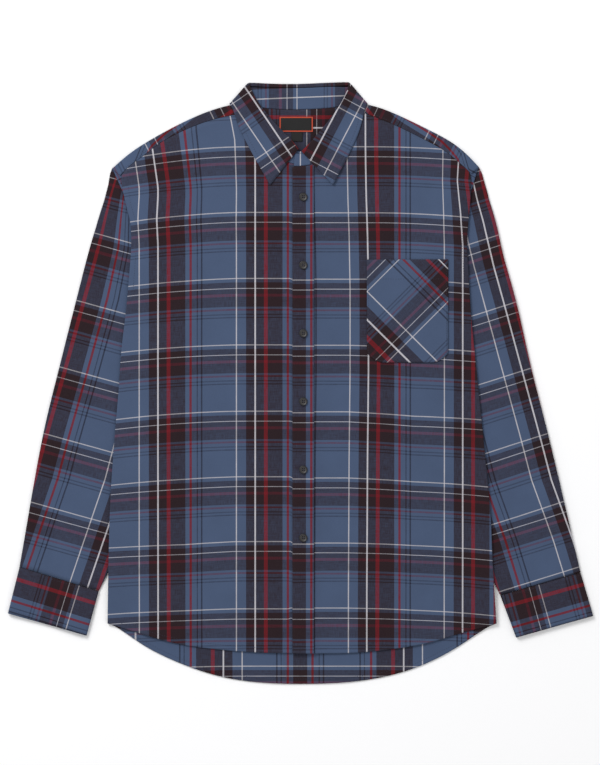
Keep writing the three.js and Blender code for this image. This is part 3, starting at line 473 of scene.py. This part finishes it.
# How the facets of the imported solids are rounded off
FINER_LEVELS = 2
LABEL_LEVELS = 1
WELD = 1e-6
CREASE_ANGLE = math.radians(58)
QUAD_BEND = math.radians(40)
QUAD_SKEW = math.radians(70)

# Flannel: how finely the warp and weft yarns vary, how far that shifts their cover, wear, nap and weave
WARP_YARN_SCALE = (150, 9, 1)
WEFT_YARN_SCALE = (9, 105, 1)
YARN_DETAIL = 2
YARN_SHIFT = 0.5
WEAR = {"scale": 26, "detail": 4, "depth": 0.22, "least": 0.87}
NAP = {"scale": 900, "detail": 2, "cover": 0.03, "colour": (0.3, 0.3, 0.34)}
WEAVE_BUMP = {"Strength": 0.35, "Distance": 0.0004}
FLANNEL_FINISH = {
    "Roughness": 0.93,
    "Specular IOR Level": 0.14,
    "Sheen Weight": 0.04,
    "Sheen Roughness": 0.6,
}
# Other materials are mottled with a lighter tone of their own colour
MOTTLE = {"scale": 420, "detail": 3, "times": 1.9, "more": 0.01}

# Camera, light and floor
PHOTO_HEIGHT = 1055.7
PHOTO_CENTRE = (-0.76, 0.83)
LENS = 150.0
SENSOR = 36.0
WORLD_STRENGTH = 0.62
FLOOR_HALF = 4.0
FLOOR_LEVEL = -0.0003
LAMPS = [
    {"name": "key", "at": (-1.6, 2.0, 2.6), "size": 1.4, "power": 84},
    {"name": "fill", "at": (1.8, -1.4, 2.8), "size": 2.6, "power": 14},
]


# Small helpers


def linear(colour):
    """sRGB from 0 to 255 to linear from 0 to 1."""
    shares = [value / 255 for value in colour]
    return [s / 12.92 if s <= 0.04045 else ((s + 0.055) / 1.055) ** 2.4 for s in shares]


def smooth(values):
    values = np.clip(values, 0.0, 1.0)
    return values * values * (3.0 - 2.0 * values)


def column(rows, along, value, at):
    """One column of a table against another, straight between rows and level past its ends."""
    ordered = sorted(rows, key=lambda row: row[along])
    return np.interp(at, [row[along] for row in ordered], [row[value] for row in ordered])


def mesh_points(mesh):
    points = np.empty(len(mesh.vertices) * 3)
    mesh.vertices.foreach_get("co", points)
    return points.reshape(-1, 3) / MM


def set_mesh_points(mesh, points):
    mesh.vertices.foreach_set("co", (points * MM).ravel())
    mesh.update()


# How the cloth lies

random_source = np.random.default_rng(SEED)
wave_angles = random_source.uniform(0, 2 * math.pi, WAVES["count"])
wave_lengths = random_source.uniform(*WAVES["lengths"], WAVES["count"])
wave_phases = random_source.uniform(0, 2 * math.pi, WAVES["count"])


def fold_heights(x, y):
    """Height of the soft folds and of the cloth's unevenness at plan points."""
    total = np.zeros_like(x)
    for fold in FOLDS:
        dx = fold["to"][0] - fold["from"][0]
        dy = fold["to"][1] - fold["from"][1]
        length = math.hypot(dx, dy)
        along = ((x - fold["from"][0]) * dx + (y - fold["from"][1]) * dy) / length**2
        aside = ((x - fold["from"][0]) * dy - (y - fold["from"][1]) * dx) / length
        fade = smooth(FOLD_FADE["middle"] - FOLD_FADE["slope"] * np.abs(along - 0.5))
        total += fold["height"] * fade * np.exp(-((aside / fold["width"]) ** 2))
    for angle, length, phase in zip(wave_angles, wave_lengths, wave_phases):
        run = x * math.cos(angle) + y * math.sin(angle)
        height = WAVES["height"] * (length / WAVES["length"])
        total += height * np.sin(2 * math.pi * run / length + phase)
    return total


def widen_sleeve_head(mesh, node):
    """Moves the sleeve's outer edge out and its head up, and leaves its inner edge at its own x."""
    points = mesh_points(mesh)
    rows = SLEEVE_HEADS[node]
    inner, outer, out, up = (column(rows, "y", key, points[:, 1]) for key in ("inner", "outer", "out", "up"))
    sign = -1 if node == "sleeve_right" else 1
    outward = np.clip((sign * points[:, 0] - inner) / (outer - inner), 0, 1)
    points[:, 0] += sign * out * outward
    points[:, 1] += up
    set_mesh_points(mesh, points)


def settle(points):
    """Folds every layer alike, less towards the floor, so that no layer crosses another."""
    points[:, 2] += fold_heights(points[:, 0], points[:, 1]) * smooth(points[:, 2] / FOLD_FULL)
    return points


def placed(name, data):
    """A new object in the scene, which holds a mesh, a light or a camera."""
    holder = bpy.data.objects.new(name, data)
    bpy.context.scene.collection.objects.link(holder)
    return holder


def mesh_from(solid, name):
    mesh = bpy.data.meshes.new(name)
    solid.to_mesh(mesh)
    solid.free()
    return mesh


def finer_mesh(node, levels):
    """The node's form with its facets rounded off, and its open edges and corners kept."""
    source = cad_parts[node]
    cage = bmesh.new()
    cage.from_mesh(source.data)
    cage.transform(source.matrix_world)
    bmesh.ops.remove_doubles(cage, verts=cage.verts, dist=WELD)
    bmesh.ops.join_triangles(
        cage, faces=cage.faces, angle_face_threshold=QUAD_BEND, angle_shape_threshold=QUAD_SKEW
    )
    crease = cage.edges.layers.float.new("crease_edge")
    for edge in cage.edges:
        if edge.is_manifold and edge.calc_face_angle() > CREASE_ANGLE:
            edge[crease] = 1.0
    mesh = mesh_from(cage, f"{node}_cage")
    holder = placed(f"{node}_cage", mesh)
    modifier = holder.modifiers.new("finer", "SUBSURF")
    modifier.levels = levels
    graph = bpy.context.evaluated_depsgraph_get()
    fine = bpy.data.meshes.new_from_object(holder.evaluated_get(graph))
    bpy.data.objects.remove(holder)
    bpy.data.meshes.remove(mesh)
    return fine


# Where a point of each piece lies in the check, as warp and weft distances in millimetres


def part_way(x, span):
    """0 before the span, 1 after it, and even in between."""
    return np.clip((x - span[0]) / (span[1] - span[0]), 0, 1)


def body_droop(x, y):
    """How far the weft hangs below an even level: unevenly in the middle, more and more towards the sides."""
    total = np.zeros_like(x)
    for side, sign in (("right", -1), ("left", 1)):
        outward = (sign * x - DROOP_FROM[side]) / (BODY_HALF - DROOP_FROM[side])
        total += column(DROOP, "y", side, y) * np.clip(outward, 0, DROOP_UP_TO) ** 2
    inside = part_way(x, WEFT_LIFT_AT["right"])
    lift_right = column(WEFT_LIFT, "y", "right", y) * inside
    lift = np.where(x < WEFT_LIFT_AT["middle"], lift_right, column(WEFT_LIFT, "y", "left", y))
    return total - lift + column(WEFT_LIFT, "y", "pulled", y) * part_way(x, WEFT_LIFT_AT["pulled"])


def body_weft(x, y):
    return BODY_WHITE_Y - body_droop(x, y) - y


def front_right_check(x, y):
    near_side = np.clip((-x - LEAN_FROM["right"]) / LEAN_WIDTH["right"], 0, 1)
    lean = np.maximum(column(LEAN_RIGHT, "y", "out", y) * near_side, column(LEAN_COLLAR, "y", "out", y))
    warp = (x + lean - FRONT_RIGHT_CUT["white_x"]) * WARP_REPEAT / FRONT_RIGHT_CUT["repeat"]
    return warp, body_weft(x, y)


def front_left_check(x, y):
    near_side = np.clip((x - LEAN_FROM["left"]) / LEAN_WIDTH["left"], 0, 1)
    near_placket = 1 - part_way(x, PLACKET_SIDE)
    lean = column(LEAN_LEFT, "y", "out", y) * near_side + column(LEAN_PLACKET, "y", "out", y) * near_placket
    warp = (x + lean - FRONT_LEFT_CUT["white_x"]) * WARP_REPEAT / FRONT_LEFT_CUT["repeat"]
    return warp, body_weft(x, y)


def placket_check(x, y):
    return x - PLACKET_CUT["white_x"], body_weft(x, y) - PLACKET_CUT["lower"]


def back_check(x, y):
    """The back counts towards the wearer's right, apart from a pleat beside its middle."""
    cut_x = column(BACK_TURN, "x", "cut_x", x)
    warp = np.where(x < BACK_PLEAT[0], BACK_WHITE_X["right"] - cut_x, cut_x - BACK_WHITE_X["pleat"])
    warp = np.where(x > BACK_PLEAT[1], BACK_WHITE_X["left"] - cut_x, warp)
    return warp, BACK_WHITE_Y - body_droop(x, y) - y


def sleeve_check(side, line, out):
    lean = SLEEVE_LEAN[side]

    def check(x, y):
        aside = (x - column(line, "y", "x", y)) * column(line, "y", "turned", y)
        warp = SLEEVE_LINE_AT[side] + aside * math.cos(lean)
        level = y - column(SLEEVE_WEFT_LIFT, "y", side, y)
        along = x * out * math.sin(lean) - level * math.cos(lean)
        weft = (along - SLEEVE_WHITE[side]) * WEFT_REPEAT / SLEEVE_WEFT[side]
        return np.maximum(warp, SLEEVE_WARP_FROM[side]), weft

    return check


def cuff_frame(side):
    """The outer end of the cuff's seam, the way along the seam and the way down the cuff."""
    outer = np.array(CUFFS[side]["outer"])
    seam = np.array(CUFFS[side]["inner"]) - outer
    seam = seam / np.hypot(*seam)
    down = np.array([seam[1], -seam[0]]) if side == "right" else np.array([-seam[1], seam[0]])
    return outer, seam, down


def cuff_check(side):
    """The cuff's warp runs round the wrist, so it counts down the cuff from the seam."""
    cuff = CUFFS[side]
    outer, seam, down = cuff_frame(side)

    def check(x, y):
        below = (x - outer[0]) * down[0] + (y - outer[1]) * down[1]
        along = (x - outer[0]) * seam[0] + (y - outer[1]) * seam[1]
        return np.maximum(cuff["warp"] + below, CUFF_WARP_FROM), (along - cuff["white"]) * cuff["way"]

    return check


def yoke_check(x, y):
    """The yoke's warp runs across the shirt. On its front strips it follows the shoulder at a slant."""
    warp = np.maximum(YOKE_RED_AT + y - YOKE_RED_Y, YOKE_WARP_FROM)
    weft = x - YOKE_WHITE_X
    for side, sign in (("right", -1), ("left", 1)):
        shoulder = SHOULDERS[side]
        neck, tip = Vector(shoulder["neck"]), Vector(shoulder["tip"])
        run = (tip - neck).normalized()
        across = Vector((run.y, -run.x)) * sign
        along = (x - neck.x) * run.x + (y - neck.y) * run.y
        below = (x - neck.x) * across.x + (y - neck.y) * across.y
        here = (sign * x > abs(neck.x) - SHOULDER_LAP) & (np.abs(below) < SHOULDER_REACH)
        red_line = column(SHOULDER_RED[side], "along", "below", along)
        warp = np.where(here, SHOULDER_RED_AT + red_line - below, warp)
        weft = np.where(here, (along - shoulder["white"]) * shoulder["way"], weft)
    return warp, weft


def stand_check(x, y):
    back = y > STAND_FRONT_Y
    warp = np.where(back, y - STAND_WHITE_Y - STAND_TILT * x, x - TAB_WHITE_X)
    weft = np.where(back, STAND_WHITE_X - x, STAND_FRONT_WEFT)
    return warp, weft


def leaf_check(x, y):
    warp = np.full_like(x, LEAF_BACK_WARP)
    weft = STAND_WHITE_X - x
    back = (y > LEAF_BACK_Y) & (np.abs(x) < LEAF_BACK_HALF)
    for side, here in (("right", (x < 0) & ~back), ("left", (x >= 0) & ~back)):
        leaf = LEAF[side]
        dx = x - leaf["line"][0]
        dy = y - leaf["line"][1]
        out = dx * leaf["out"][0] + dy * leaf["out"][1]
        along = dx * leaf["along"][0] + dy * leaf["along"][1]
        warp = np.where(here, THICK_WHITE - out, warp)
        leaf_weft = np.maximum((along - leaf["white"]) * leaf["way"], LEAF_WEFT_FROM)
        weft = np.where(here, leaf_weft, weft)
    return warp, weft


def pocket_check(x, y):
    """The pocket's warp falls and its weft climbs to the right, both at 45 degrees."""
    down = (POCKET_LINE[0] - x + POCKET_LINE[1] - y) * math.sqrt(0.5)
    across = (POCKET_WEFT_LINE[0] - x - POCKET_WEFT_LINE[1] + y) * math.sqrt(0.5)
    weft = across * WEFT_REPEAT / POCKET_WEFT_REPEAT + POCKET_WEFT_AT
    return column(POCKET_WARP, "down", "warp", down), weft


CHECKS = {
    "back": back_check,
    "front_right": front_right_check,
    "front_left": front_left_check,
    "yoke": yoke_check,
    "sleeve_right": sleeve_check("right", SLEEVE_RIGHT_LINE, -1),
    "sleeve_left": sleeve_check("left", SLEEVE_LEFT_LINE, 1),
    "cuff_right": cuff_check("right"),
    "cuff_left": cuff_check("left"),
    "collar_stand": stand_check,
    "collar_leaf": leaf_check,
    "placket": placket_check,
    "pocket": pocket_check,
}


def lay_check(mesh, check):
    """Writes each corner's place in the check as a UV, in repeats."""
    points = mesh_points(mesh)
    corners = np.empty(len(mesh.loops), dtype=np.int32)
    mesh.loops.foreach_get("vertex_index", corners)
    warp, weft = check(points[:, 0], points[:, 1])
    # a face that straddles a jump in the check takes the higher value at all its corners
    starts = np.empty(len(mesh.polygons), dtype=np.int32)
    totals = np.empty(len(mesh.polygons), dtype=np.int32)
    mesh.polygons.foreach_get("loop_start", starts)
    mesh.polygons.foreach_get("loop_total", totals)
    face_of = np.repeat(np.arange(len(starts)), totals)
    places = np.stack([warp[corners], weft[corners]], axis=1)
    low = np.full((len(starts), 2), np.inf)
    high = np.full((len(starts), 2), -np.inf)
    np.minimum.at(low, face_of, places)
    np.maximum.at(high, face_of, places)
    torn = ((high - low) > CHECK_JUMP).any(axis=1)
    places[torn[face_of]] = high[face_of][torn[face_of]]
    uv = mesh.uv_layers.new(name="check")
    uv.data.foreach_set("uv", (places / (WARP_REPEAT, WEFT_REPEAT)).ravel())


# Materials


def new_material(name):
    material = bpy.data.materials.new(name)
    material.use_nodes = True
    tree = material.node_tree
    return material, tree, tree.nodes["Principled BSDF"]


def maths(tree, operation, first, second):
    node = tree.nodes.new("ShaderNodeMath")
    node.operation = operation
    for socket, value in zip(node.inputs, (first, second)):
        if isinstance(value, (int, float)):
            socket.default_value = value
        else:
            tree.links.new(value, socket)
    return node.outputs[0]


def mixed(tree, factor, first, second, blend="MIX"):
    node = tree.nodes.new("ShaderNodeMix")
    node.data_type = "RGBA"
    node.blend_type = blend
    for socket, value in ((node.inputs[0], factor), (node.inputs[6], first), (node.inputs[7], second)):
        if isinstance(value, (int, float)):
            socket.default_value = value
        elif isinstance(value, (list, tuple)):
            socket.default_value = (*value, 1)
        else:
            tree.links.new(value, socket)
    return node.outputs[2]


def stripes(tree, place, table, repeat):
    """Colour and cover of one set of yarns, from their place in the check."""
    ramp = tree.nodes.new("ShaderNodeValToRGB")
    ramp.color_ramp.interpolation = "CONSTANT"
    elements = ramp.color_ramp.elements
    while len(elements) > 1:
        elements.remove(elements[-1])
    for number, stripe in enumerate(table):
        element = elements[0] if number == 0 else elements.new(stripe["start"] / repeat)
        element.position = stripe["start"] / repeat
        element.color = (*linear(YARN[stripe["yarn"]]), stripe["cover"])
    tree.links.new(maths(tree, "FRACT", place, 0), ramp.inputs[0])
    return ramp.outputs[0], ramp.outputs[1]


def noise(tree, vector, scale, detail):
    node = tree.nodes.new("ShaderNodeTexNoise")
    node.inputs["Scale"].default_value = scale
    node.inputs["Detail"].default_value = detail
    tree.links.new(vector, node.inputs["Vector"])
    return node.outputs[0]


def stretched(tree, vector, scale):
    node = tree.nodes.new("ShaderNodeMapping")
    node.inputs["Scale"].default_value = scale
    tree.links.new(vector, node.inputs["Vector"])
    return node.outputs[0]


def flannel_material():
    material, tree, surface = new_material("flannel")
    check = tree.nodes.new("ShaderNodeUVMap")
    check.uv_map = "check"
    split = tree.nodes.new("ShaderNodeSeparateXYZ")
    tree.links.new(check.outputs[0], split.inputs[0])
    warp_colour, warp_cover = stripes(tree, split.outputs[0], WARP_STRIPES, WARP_REPEAT)
    weft_colour, weft_cover = stripes(tree, split.outputs[1], WEFT_STRIPES, WEFT_REPEAT)
    share = maths(tree, "DIVIDE", weft_cover, maths(tree, "ADD", warp_cover, weft_cover))
    warp_yarn = noise(tree, stretched(tree, check.outputs[0], WARP_YARN_SCALE), 1, YARN_DETAIL)
    weft_yarn = noise(tree, stretched(tree, check.outputs[0], WEFT_YARN_SCALE), 1, YARN_DETAIL)
    shift = maths(tree, "MULTIPLY", maths(tree, "SUBTRACT", weft_yarn, warp_yarn), YARN_SHIFT)
    colour = mixed(tree, maths(tree, "ADD", share, shift), warp_colour, weft_colour)
    place = tree.nodes.new("ShaderNodeNewGeometry").outputs["Position"]
    patches = noise(tree, place, WEAR["scale"], WEAR["detail"])
    worn = maths(tree, "ADD", maths(tree, "MULTIPLY", patches, WEAR["depth"]), WEAR["least"])
    shade = tree.nodes.new("ShaderNodeCombineXYZ")
    for socket in shade.inputs:
        tree.links.new(worn, socket)
    colour = mixed(tree, 1.0, colour, shade.outputs[0], "MULTIPLY")
    nap = maths(tree, "MULTIPLY", noise(tree, place, NAP["scale"], NAP["detail"]), NAP["cover"])
    colour = mixed(tree, nap, colour, NAP["colour"])
    tree.links.new(colour, surface.inputs["Base Color"])
    for socket, value in FLANNEL_FINISH.items():
        surface.inputs[socket].default_value = value
    bump = tree.nodes.new("ShaderNodeBump")
    for socket, value in WEAVE_BUMP.items():
        bump.inputs[socket].default_value = value
    tree.links.new(maths(tree, "ADD", warp_yarn, weft_yarn), bump.inputs["Height"])
    tree.links.new(bump.outputs[0], surface.inputs["Normal"])
    return material


def plain_material(name, colour, roughness, mottle=0.0):
    material, tree, surface = new_material(name)
    place = tree.nodes.new("ShaderNodeTexCoord").outputs["Object"]
    lighter = [min(1.0, value * MOTTLE["times"] + MOTTLE["more"]) for value in linear(colour)]
    factor = maths(tree, "MULTIPLY", noise(tree, place, MOTTLE["scale"], MOTTLE["detail"]), mottle)
    tree.links.new(mixed(tree, factor, tuple(linear(colour)), tuple(lighter)), surface.inputs["Base Color"])
    surface.inputs["Roughness"].default_value = roughness
    return material


FLANNEL = flannel_material()
THREAD = plain_material("thread", (40, 42, 60), 0.8)
BUTTON_RIM = plain_material("button", (17, 15, 16), 0.45, 0.6)
BUTTON_FACE = plain_material("button_face", (38, 35, 34), 0.5, 0.6)
LABEL_BLACK = plain_material("label_black", (9, 8, 9), 0.85, 0.3)
LABEL_BORDER = plain_material("label_border", (158, 58, 34), 0.85, 0.3)
FLOOR = plain_material("floor", (248, 248, 249), 0.9)


# Pieces


def show(name, mesh, material_slot, *replaced):
    piece = placed(name, mesh)
    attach(piece, "root")
    if replaced:
        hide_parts(*replaced)
    return piece


surfaces = {}


def build_cloth(node):
    mesh = finer_mesh(node, FINER_LEVELS if node in CHECKS else LABEL_LEVELS)
    if node in SLEEVE_HEADS:
        widen_sleeve_head(mesh, node)
    if node in CHECKS:
        lay_check(mesh, CHECKS[node])
    mesh.materials.clear()
    mesh.materials.append(FLANNEL if node in CHECKS else LABEL_BLACK)
    set_mesh_points(mesh, settle(mesh_points(mesh)))
    mesh.polygons.foreach_set("use_smooth", [True] * len(mesh.polygons))
    show(f"{node}_cloth", mesh, "flannel" if node in CHECKS else "label", node)
    surfaces[node] = BVHTree.FromPolygons(
        [tuple(vertex.co) for vertex in mesh.vertices], [tuple(face.vertices) for face in mesh.polygons]
    )


def height_on(nodes, x, y):
    """Height in millimetres of the uppermost of some pieces at a plan point, or None off their edges."""
    found = []
    for node in nodes:
        hit = surfaces[node].ray_cast(Vector((x * MM, y * MM, RAY_FROM)), Vector((0, 0, -1)))
        if hit[0] is not None:
            found.append(hit[0].z / MM)
    return max(found) if found else None


# Topstitching


class Bars:
    """Small rounded bars gathered into one mesh: stitches and the edges of buttonholes."""

    CROWN = 0.7

    def __init__(self):
        self.vertices = []
        self.faces = []

    def add(self, start, end, half, rise, sink):
        axis = (end - start).normalized()
        side = Vector((-axis.y, axis.x, 0)).normalized() * half
        middle = (start + end) / 2
        first = len(self.vertices)
        for at, lift in ((start, -sink), (middle, rise), (end, -sink)):
            crown = Vector((at.x, at.y, at.z + lift))
            foot = Vector((at.x, at.y, at.z - sink - half))
            for corner in (crown - side * self.CROWN, crown + side * self.CROWN, foot + side, foot - side):
                self.vertices.append(corner * MM)
        for ring in (0, 4):
            for k in range(4):
                a = first + ring + k
                b = first + ring + (k + 1) % 4
                self.faces.append((a, b, b + 4, a + 4))
        self.faces.append((first + 3, first + 2, first + 1, first))
        self.faces.append((first + 8, first + 9, first + 10, first + 11))

    def mesh(self, name, material):
        mesh = bpy.data.meshes.new(name)
        mesh.from_pydata(self.vertices, [], self.faces)
        mesh.materials.append(material)
        mesh.update()
        return mesh


def resampled(path, pitch):
    """Points along a polyline at an even pitch."""
    points = np.array(path, dtype=float)
    lengths = np.concatenate([[0], np.cumsum(np.hypot(*np.diff(points, axis=0).T))])
    count = max(2, int(lengths[-1] / pitch))
    at = np.linspace(0, lengths[-1], count + 1)
    return np.stack([np.interp(at, lengths, points[:, k]) for k in (0, 1)], axis=1)


def stitch_along(bars, nodes, path):
    points = resampled(path, STITCH["pitch"])
    share = STITCH["long"] / STITCH["pitch"]
    for here, there in zip(points[:-1], points[1:]):
        end = here + (there - here) * share
        levels = [height_on(nodes, *here), height_on(nodes, *end)]
        if None not in levels and abs(levels[0] - levels[1]) < STITCH["most_step"]:
            bars.add(
                Vector((*here, levels[0])), Vector((*end, levels[1])),
                STITCH["half"], STITCH["rise"], STITCH["sink"],
            )


def shifted(path, dx, dy):
    return [(x + dx, y + dy) for x, y in path]


def inset(path, distance):
    """The path moved sideways, to the left of its run when the distance is positive."""
    points = np.array(path, dtype=float)
    run = np.gradient(points, axis=0)
    run /= np.hypot(run[:, 0], run[:, 1])[:, None]
    return points + np.stack([-run[:, 1], run[:, 0]], axis=1) * distance


def stitch_hems(bars):
    stitch_along(bars, ("front_left", "front_right", "placket"), shifted(FRONT_HEM, 0, HEM_STITCH))
    stitch_along(bars, ("back",), shifted(BACK_HEM, 0, HEM_STITCH))


def stitch_pocket(bars):
    left, right, top, bottom = (POCKET[key] for key in ("left", "right", "top", "bottom"))
    cut, rise = POCKET["cut"], POCKET["rise"]
    from_edge, from_end = POCKET_STITCH["edge"], POCKET_STITCH["end"]
    edge = [
        (left + from_edge, top - from_end),
        (left + from_edge, bottom + rise + from_end),
        (left + cut + from_end, bottom + from_edge),
        (right - cut - from_end, bottom + from_edge),
        (right - from_edge, bottom + rise + from_end),
        (right - from_edge, top - from_end),
    ]
    hem = top - POCKET["hem"]
    stitch_along(bars, ("pocket",), edge)
    stitch_along(bars, ("pocket",), [(left + from_end, hem), (right - from_end, hem)])


def stitch_seams(bars):
    aside, up = YOKE_STITCH
    stitch_along(bars, ("yoke",), shifted(YOKE_SEAM_RIGHT, -aside, up))
    stitch_along(bars, ("yoke",), shifted(YOKE_SEAM_LEFT, aside, up))
    stitch_along(bars, ("front_right",), shifted(ARMHOLE_RIGHT, ARMHOLE_STITCH, 0))
    stitch_along(bars, ("front_left",), shifted(ARMHOLE_LEFT, -ARMHOLE_STITCH, 0))


def stitch_collar(bars):
    stitch_along(bars, ("collar_leaf",), inset(LEAF_FALL_RIGHT, -LEAF_STITCH))
    stitch_along(bars, ("collar_leaf",), inset(LEAF_FALL_LEFT, LEAF_STITCH))
    stitch_along(bars, ("collar_leaf",), inset(LEAF_POINT_RIGHT, LEAF_STITCH))
    stitch_along(bars, ("collar_leaf",), inset(LEAF_POINT_LEFT, -LEAF_STITCH))


def stitch_cuffs(bars):
    for side in CUFFS:
        outer, seam, down = cuff_frame(side)
        width = np.hypot(*(np.array(CUFFS[side]["inner"]) - outer))
        for depth in CUFF_STITCH_DEPTHS:
            start = outer + seam * CUFF_STITCH_INSET + down * depth
            stitch_along(bars, (f"cuff_{side}",), [start, start + seam * (width - 2 * CUFF_STITCH_INSET)])


def sew_buttonholes(bars):
    reach = BUTTONHOLE["bar"] / 2
    steps = np.arange(-BUTTONHOLE["long"] / 2, BUTTONHOLE["long"] / 2, BUTTONHOLE["pitch"])
    for number in range(BUTTON["count"]):
        y = BUTTON["top_y"] - number * BUTTON["pitch"]
        for sign in (-1, 1):
            x = BUTTON["x"] + sign * BUTTONHOLE["aside"]
            for step in steps:
                level = height_on(("placket",), x, y + step)
                bars.add(
                    Vector((x - reach, y + step, level)), Vector((x + reach, y + step, level)),
                    STITCH["half"], STITCH["rise"], STITCH["sink"],
                )


def build_stitching():
    bars = Bars()
    for sew in (stitch_hems, stitch_pocket, stitch_seams, stitch_collar, stitch_cuffs, sew_buttonholes):
        sew(bars)
    show("stitching", bars.mesh("stitching", THREAD), "flannel")


# Buttons


def lathe(profile, steps):
    """Closed solid turned about the Z axis from a profile of radius and height in millimetres."""
    solid = bmesh.new()
    rings = []
    for radius, height in profile:
        if radius == 0:
            rings.append([solid.verts.new((0, 0, height * MM))] * steps)
            continue
        ring = []
        for k in range(steps):
            angle = 2 * math.pi * k / steps
            place = Vector((radius * math.cos(angle), radius * math.sin(angle), height))
            ring.append(solid.verts.new(place * MM))
        rings.append(ring)
    for low, high in zip(rings, rings[1:]):
        for k in range(steps):
            corners = [low[k], low[(k + 1) % steps], high[(k + 1) % steps], high[k]]
            solid.faces.new(list(dict.fromkeys(corners)))
    return solid


def drill_object(number):
    """A round cutter for one of the button's holes."""
    width, past, thick = BUTTON_HOLES["radius"], BUTTON_HOLES["past"], BUTTON["thick"]
    profile = [(0, -past), (width, -past), (width, thick + past), (0, thick + past)]
    drill = lathe(profile, BUTTON_STEPS["hole"])
    angle = math.pi / 4 + number * math.pi / 2
    reach = BUTTON_HOLES["reach"] * MM
    aside = (reach * math.cos(angle), reach * math.sin(angle), 0)
    bmesh.ops.translate(drill, verts=drill.verts, vec=aside)
    return placed("drill", mesh_from(drill, "drill"))


def button_mesh():
    """One turned button at the origin, with its holes drilled."""
    radius, thick = BUTTON["radius"], BUTTON["thick"]
    solid = lathe([(radius * out, thick * up) for out, up in BUTTON_PROFILE], BUTTON_STEPS["rim"])
    holder = placed("button_blank", mesh_from(solid, "button"))
    drills = [drill_object(k) for k in range(BUTTON_HOLES["count"])]
    for k, drill in enumerate(drills):
        cut = holder.modifiers.new(f"hole_{k}", "BOOLEAN")
        cut.object = drill
        cut.solver = "EXACT"
    graph = bpy.context.evaluated_depsgraph_get()
    made = bpy.data.meshes.new_from_object(holder.evaluated_get(graph))
    for thing in (holder, *drills):
        bpy.data.objects.remove(thing)
    made.materials.clear()
    made.materials.append(BUTTON_RIM)
    made.materials.append(BUTTON_FACE)
    face_radius = radius * BUTTON_FACE_SHARE * MM
    for face in made.polygons:
        face.material_index = 1 if math.hypot(face.center.x, face.center.y) < face_radius else 0
        face.use_smooth = True
    return made


def build_buttons():
    blank = button_mesh()
    thread = Bars()
    for number in range(BUTTON["count"]):
        y = BUTTON["top_y"] - number * BUTTON["pitch"]
        level = height_on(("placket",), BUTTON["x"], y) + BUTTON_GAP
        mesh = blank.copy()
        points = mesh_points(mesh) + (BUTTON["x"], y, level)
        set_mesh_points(mesh, points)
        show(f"button_{number + 1}_turned", mesh, "button", f"button_{number + 1}")
        top = level + BUTTON["thick"] * BUTTON_THREAD["up"]
        reach = BUTTON_HOLES["reach"] * math.sqrt(0.5)
        for sign in (-1, 1):
            start = Vector((BUTTON["x"] + sign * reach, y - reach, top))
            end = Vector((BUTTON["x"] + sign * reach, y + reach, top))
            thread.add(start, end, BUTTON_THREAD["half"], BUTTON_THREAD["rise"], BUTTON_THREAD["sink"])
    show("button_thread", thread.mesh("button_thread", THREAD), "flannel")


# Neck label


def build_label_border():
    border = LABEL["border"]
    left, right, top, bottom = (LABEL[key] for key in ("left", "right", "top", "bottom"))
    outer = [(left, bottom), (right, bottom), (right, top), (left, top)]
    inner = [
        (left + border, bottom + border), (right - border, bottom + border),
        (right - border, top - border), (left + border, top - border),
    ]
    frame_mesh = bmesh.new()
    rings = []
    rise, sink, within = (LABEL_BORDER_FORM[key] for key in ("raise", "sink", "within"))
    for corners, lift in ((outer, -sink), (outer, rise), (inner, rise), (inner, -sink)):
        ring = []
        for k, corner in enumerate(corners):
            following = corners[(k + 1) % 4]
            for share in np.arange(0, 1, 1 / LABEL_BORDER_FORM["steps"]):
                x = corner[0] + (following[0] - corner[0]) * share
                y = corner[1] + (following[1] - corner[1]) * share
                inward_x = min(max(x, left + within), right - within)
                inward_y = min(max(y, bottom + within), top - within)
                level = height_on(("label",), inward_x, inward_y)
                ring.append(frame_mesh.verts.new((x * MM, y * MM, (level + lift) * MM)))
        rings.append(ring)
    for low, high in zip(rings, rings[1:] + rings[:1]):
        for k in range(len(low)):
            following = (k + 1) % len(low)
            frame_mesh.faces.new((low[k], low[following], high[following], high[k]))
    bmesh.ops.recalc_face_normals(frame_mesh, faces=frame_mesh.faces)
    mesh = mesh_from(frame_mesh, "label_border")
    mesh.materials.append(LABEL_BORDER)
    show("label_border", mesh, "label")


# Stage


def build_stage():
    floor = bpy.data.meshes.new("floor")
    corners = [(x * FLOOR_HALF, y * FLOOR_HALF, FLOOR_LEVEL) for x, y in ((-1, -1), (1, -1), (1, 1), (-1, 1))]
    floor.from_pydata(corners, [], [(0, 1, 2, 3)])
    floor.materials.append(FLOOR)
    placed("floor", floor)
    for lamp in LAMPS:
        light = bpy.data.lights.new(lamp["name"], "AREA")
        light.size = lamp["size"]
        light.energy = lamp["power"]
        holder = placed(lamp["name"], light)
        holder.location = lamp["at"]
        holder.rotation_mode = "QUATERNION"
        holder.rotation_quaternion = (-Vector(lamp["at"])).to_track_quat("-Z", "Y")
    world = bpy.data.worlds.new("studio")
    world.use_nodes = True
    world.node_tree.nodes["Background"].inputs[0].default_value = (1, 1, 1, 1)
    world.node_tree.nodes["Background"].inputs[1].default_value = WORLD_STRENGTH
    bpy.context.scene.world = world
    bpy.context.scene.view_settings.view_transform = "Standard"


def build_camera():
    camera = bpy.data.cameras.new("camera")
    camera.lens = LENS
    camera.sensor_width = SENSOR
    distance = PHOTO_HEIGHT / 2 / (SENSOR / 2 / LENS)
    camera.clip_end = 100
    holder = placed("camera", camera)
    holder.location = (PHOTO_CENTRE[0] * MM, PHOTO_CENTRE[1] * MM, distance * MM)
    bpy.context.scene.camera = holder


for node_name in CUTS:
    build_cloth(node_name)
build_stitching()
build_buttons()
build_label_border()
build_stage()
build_camera()
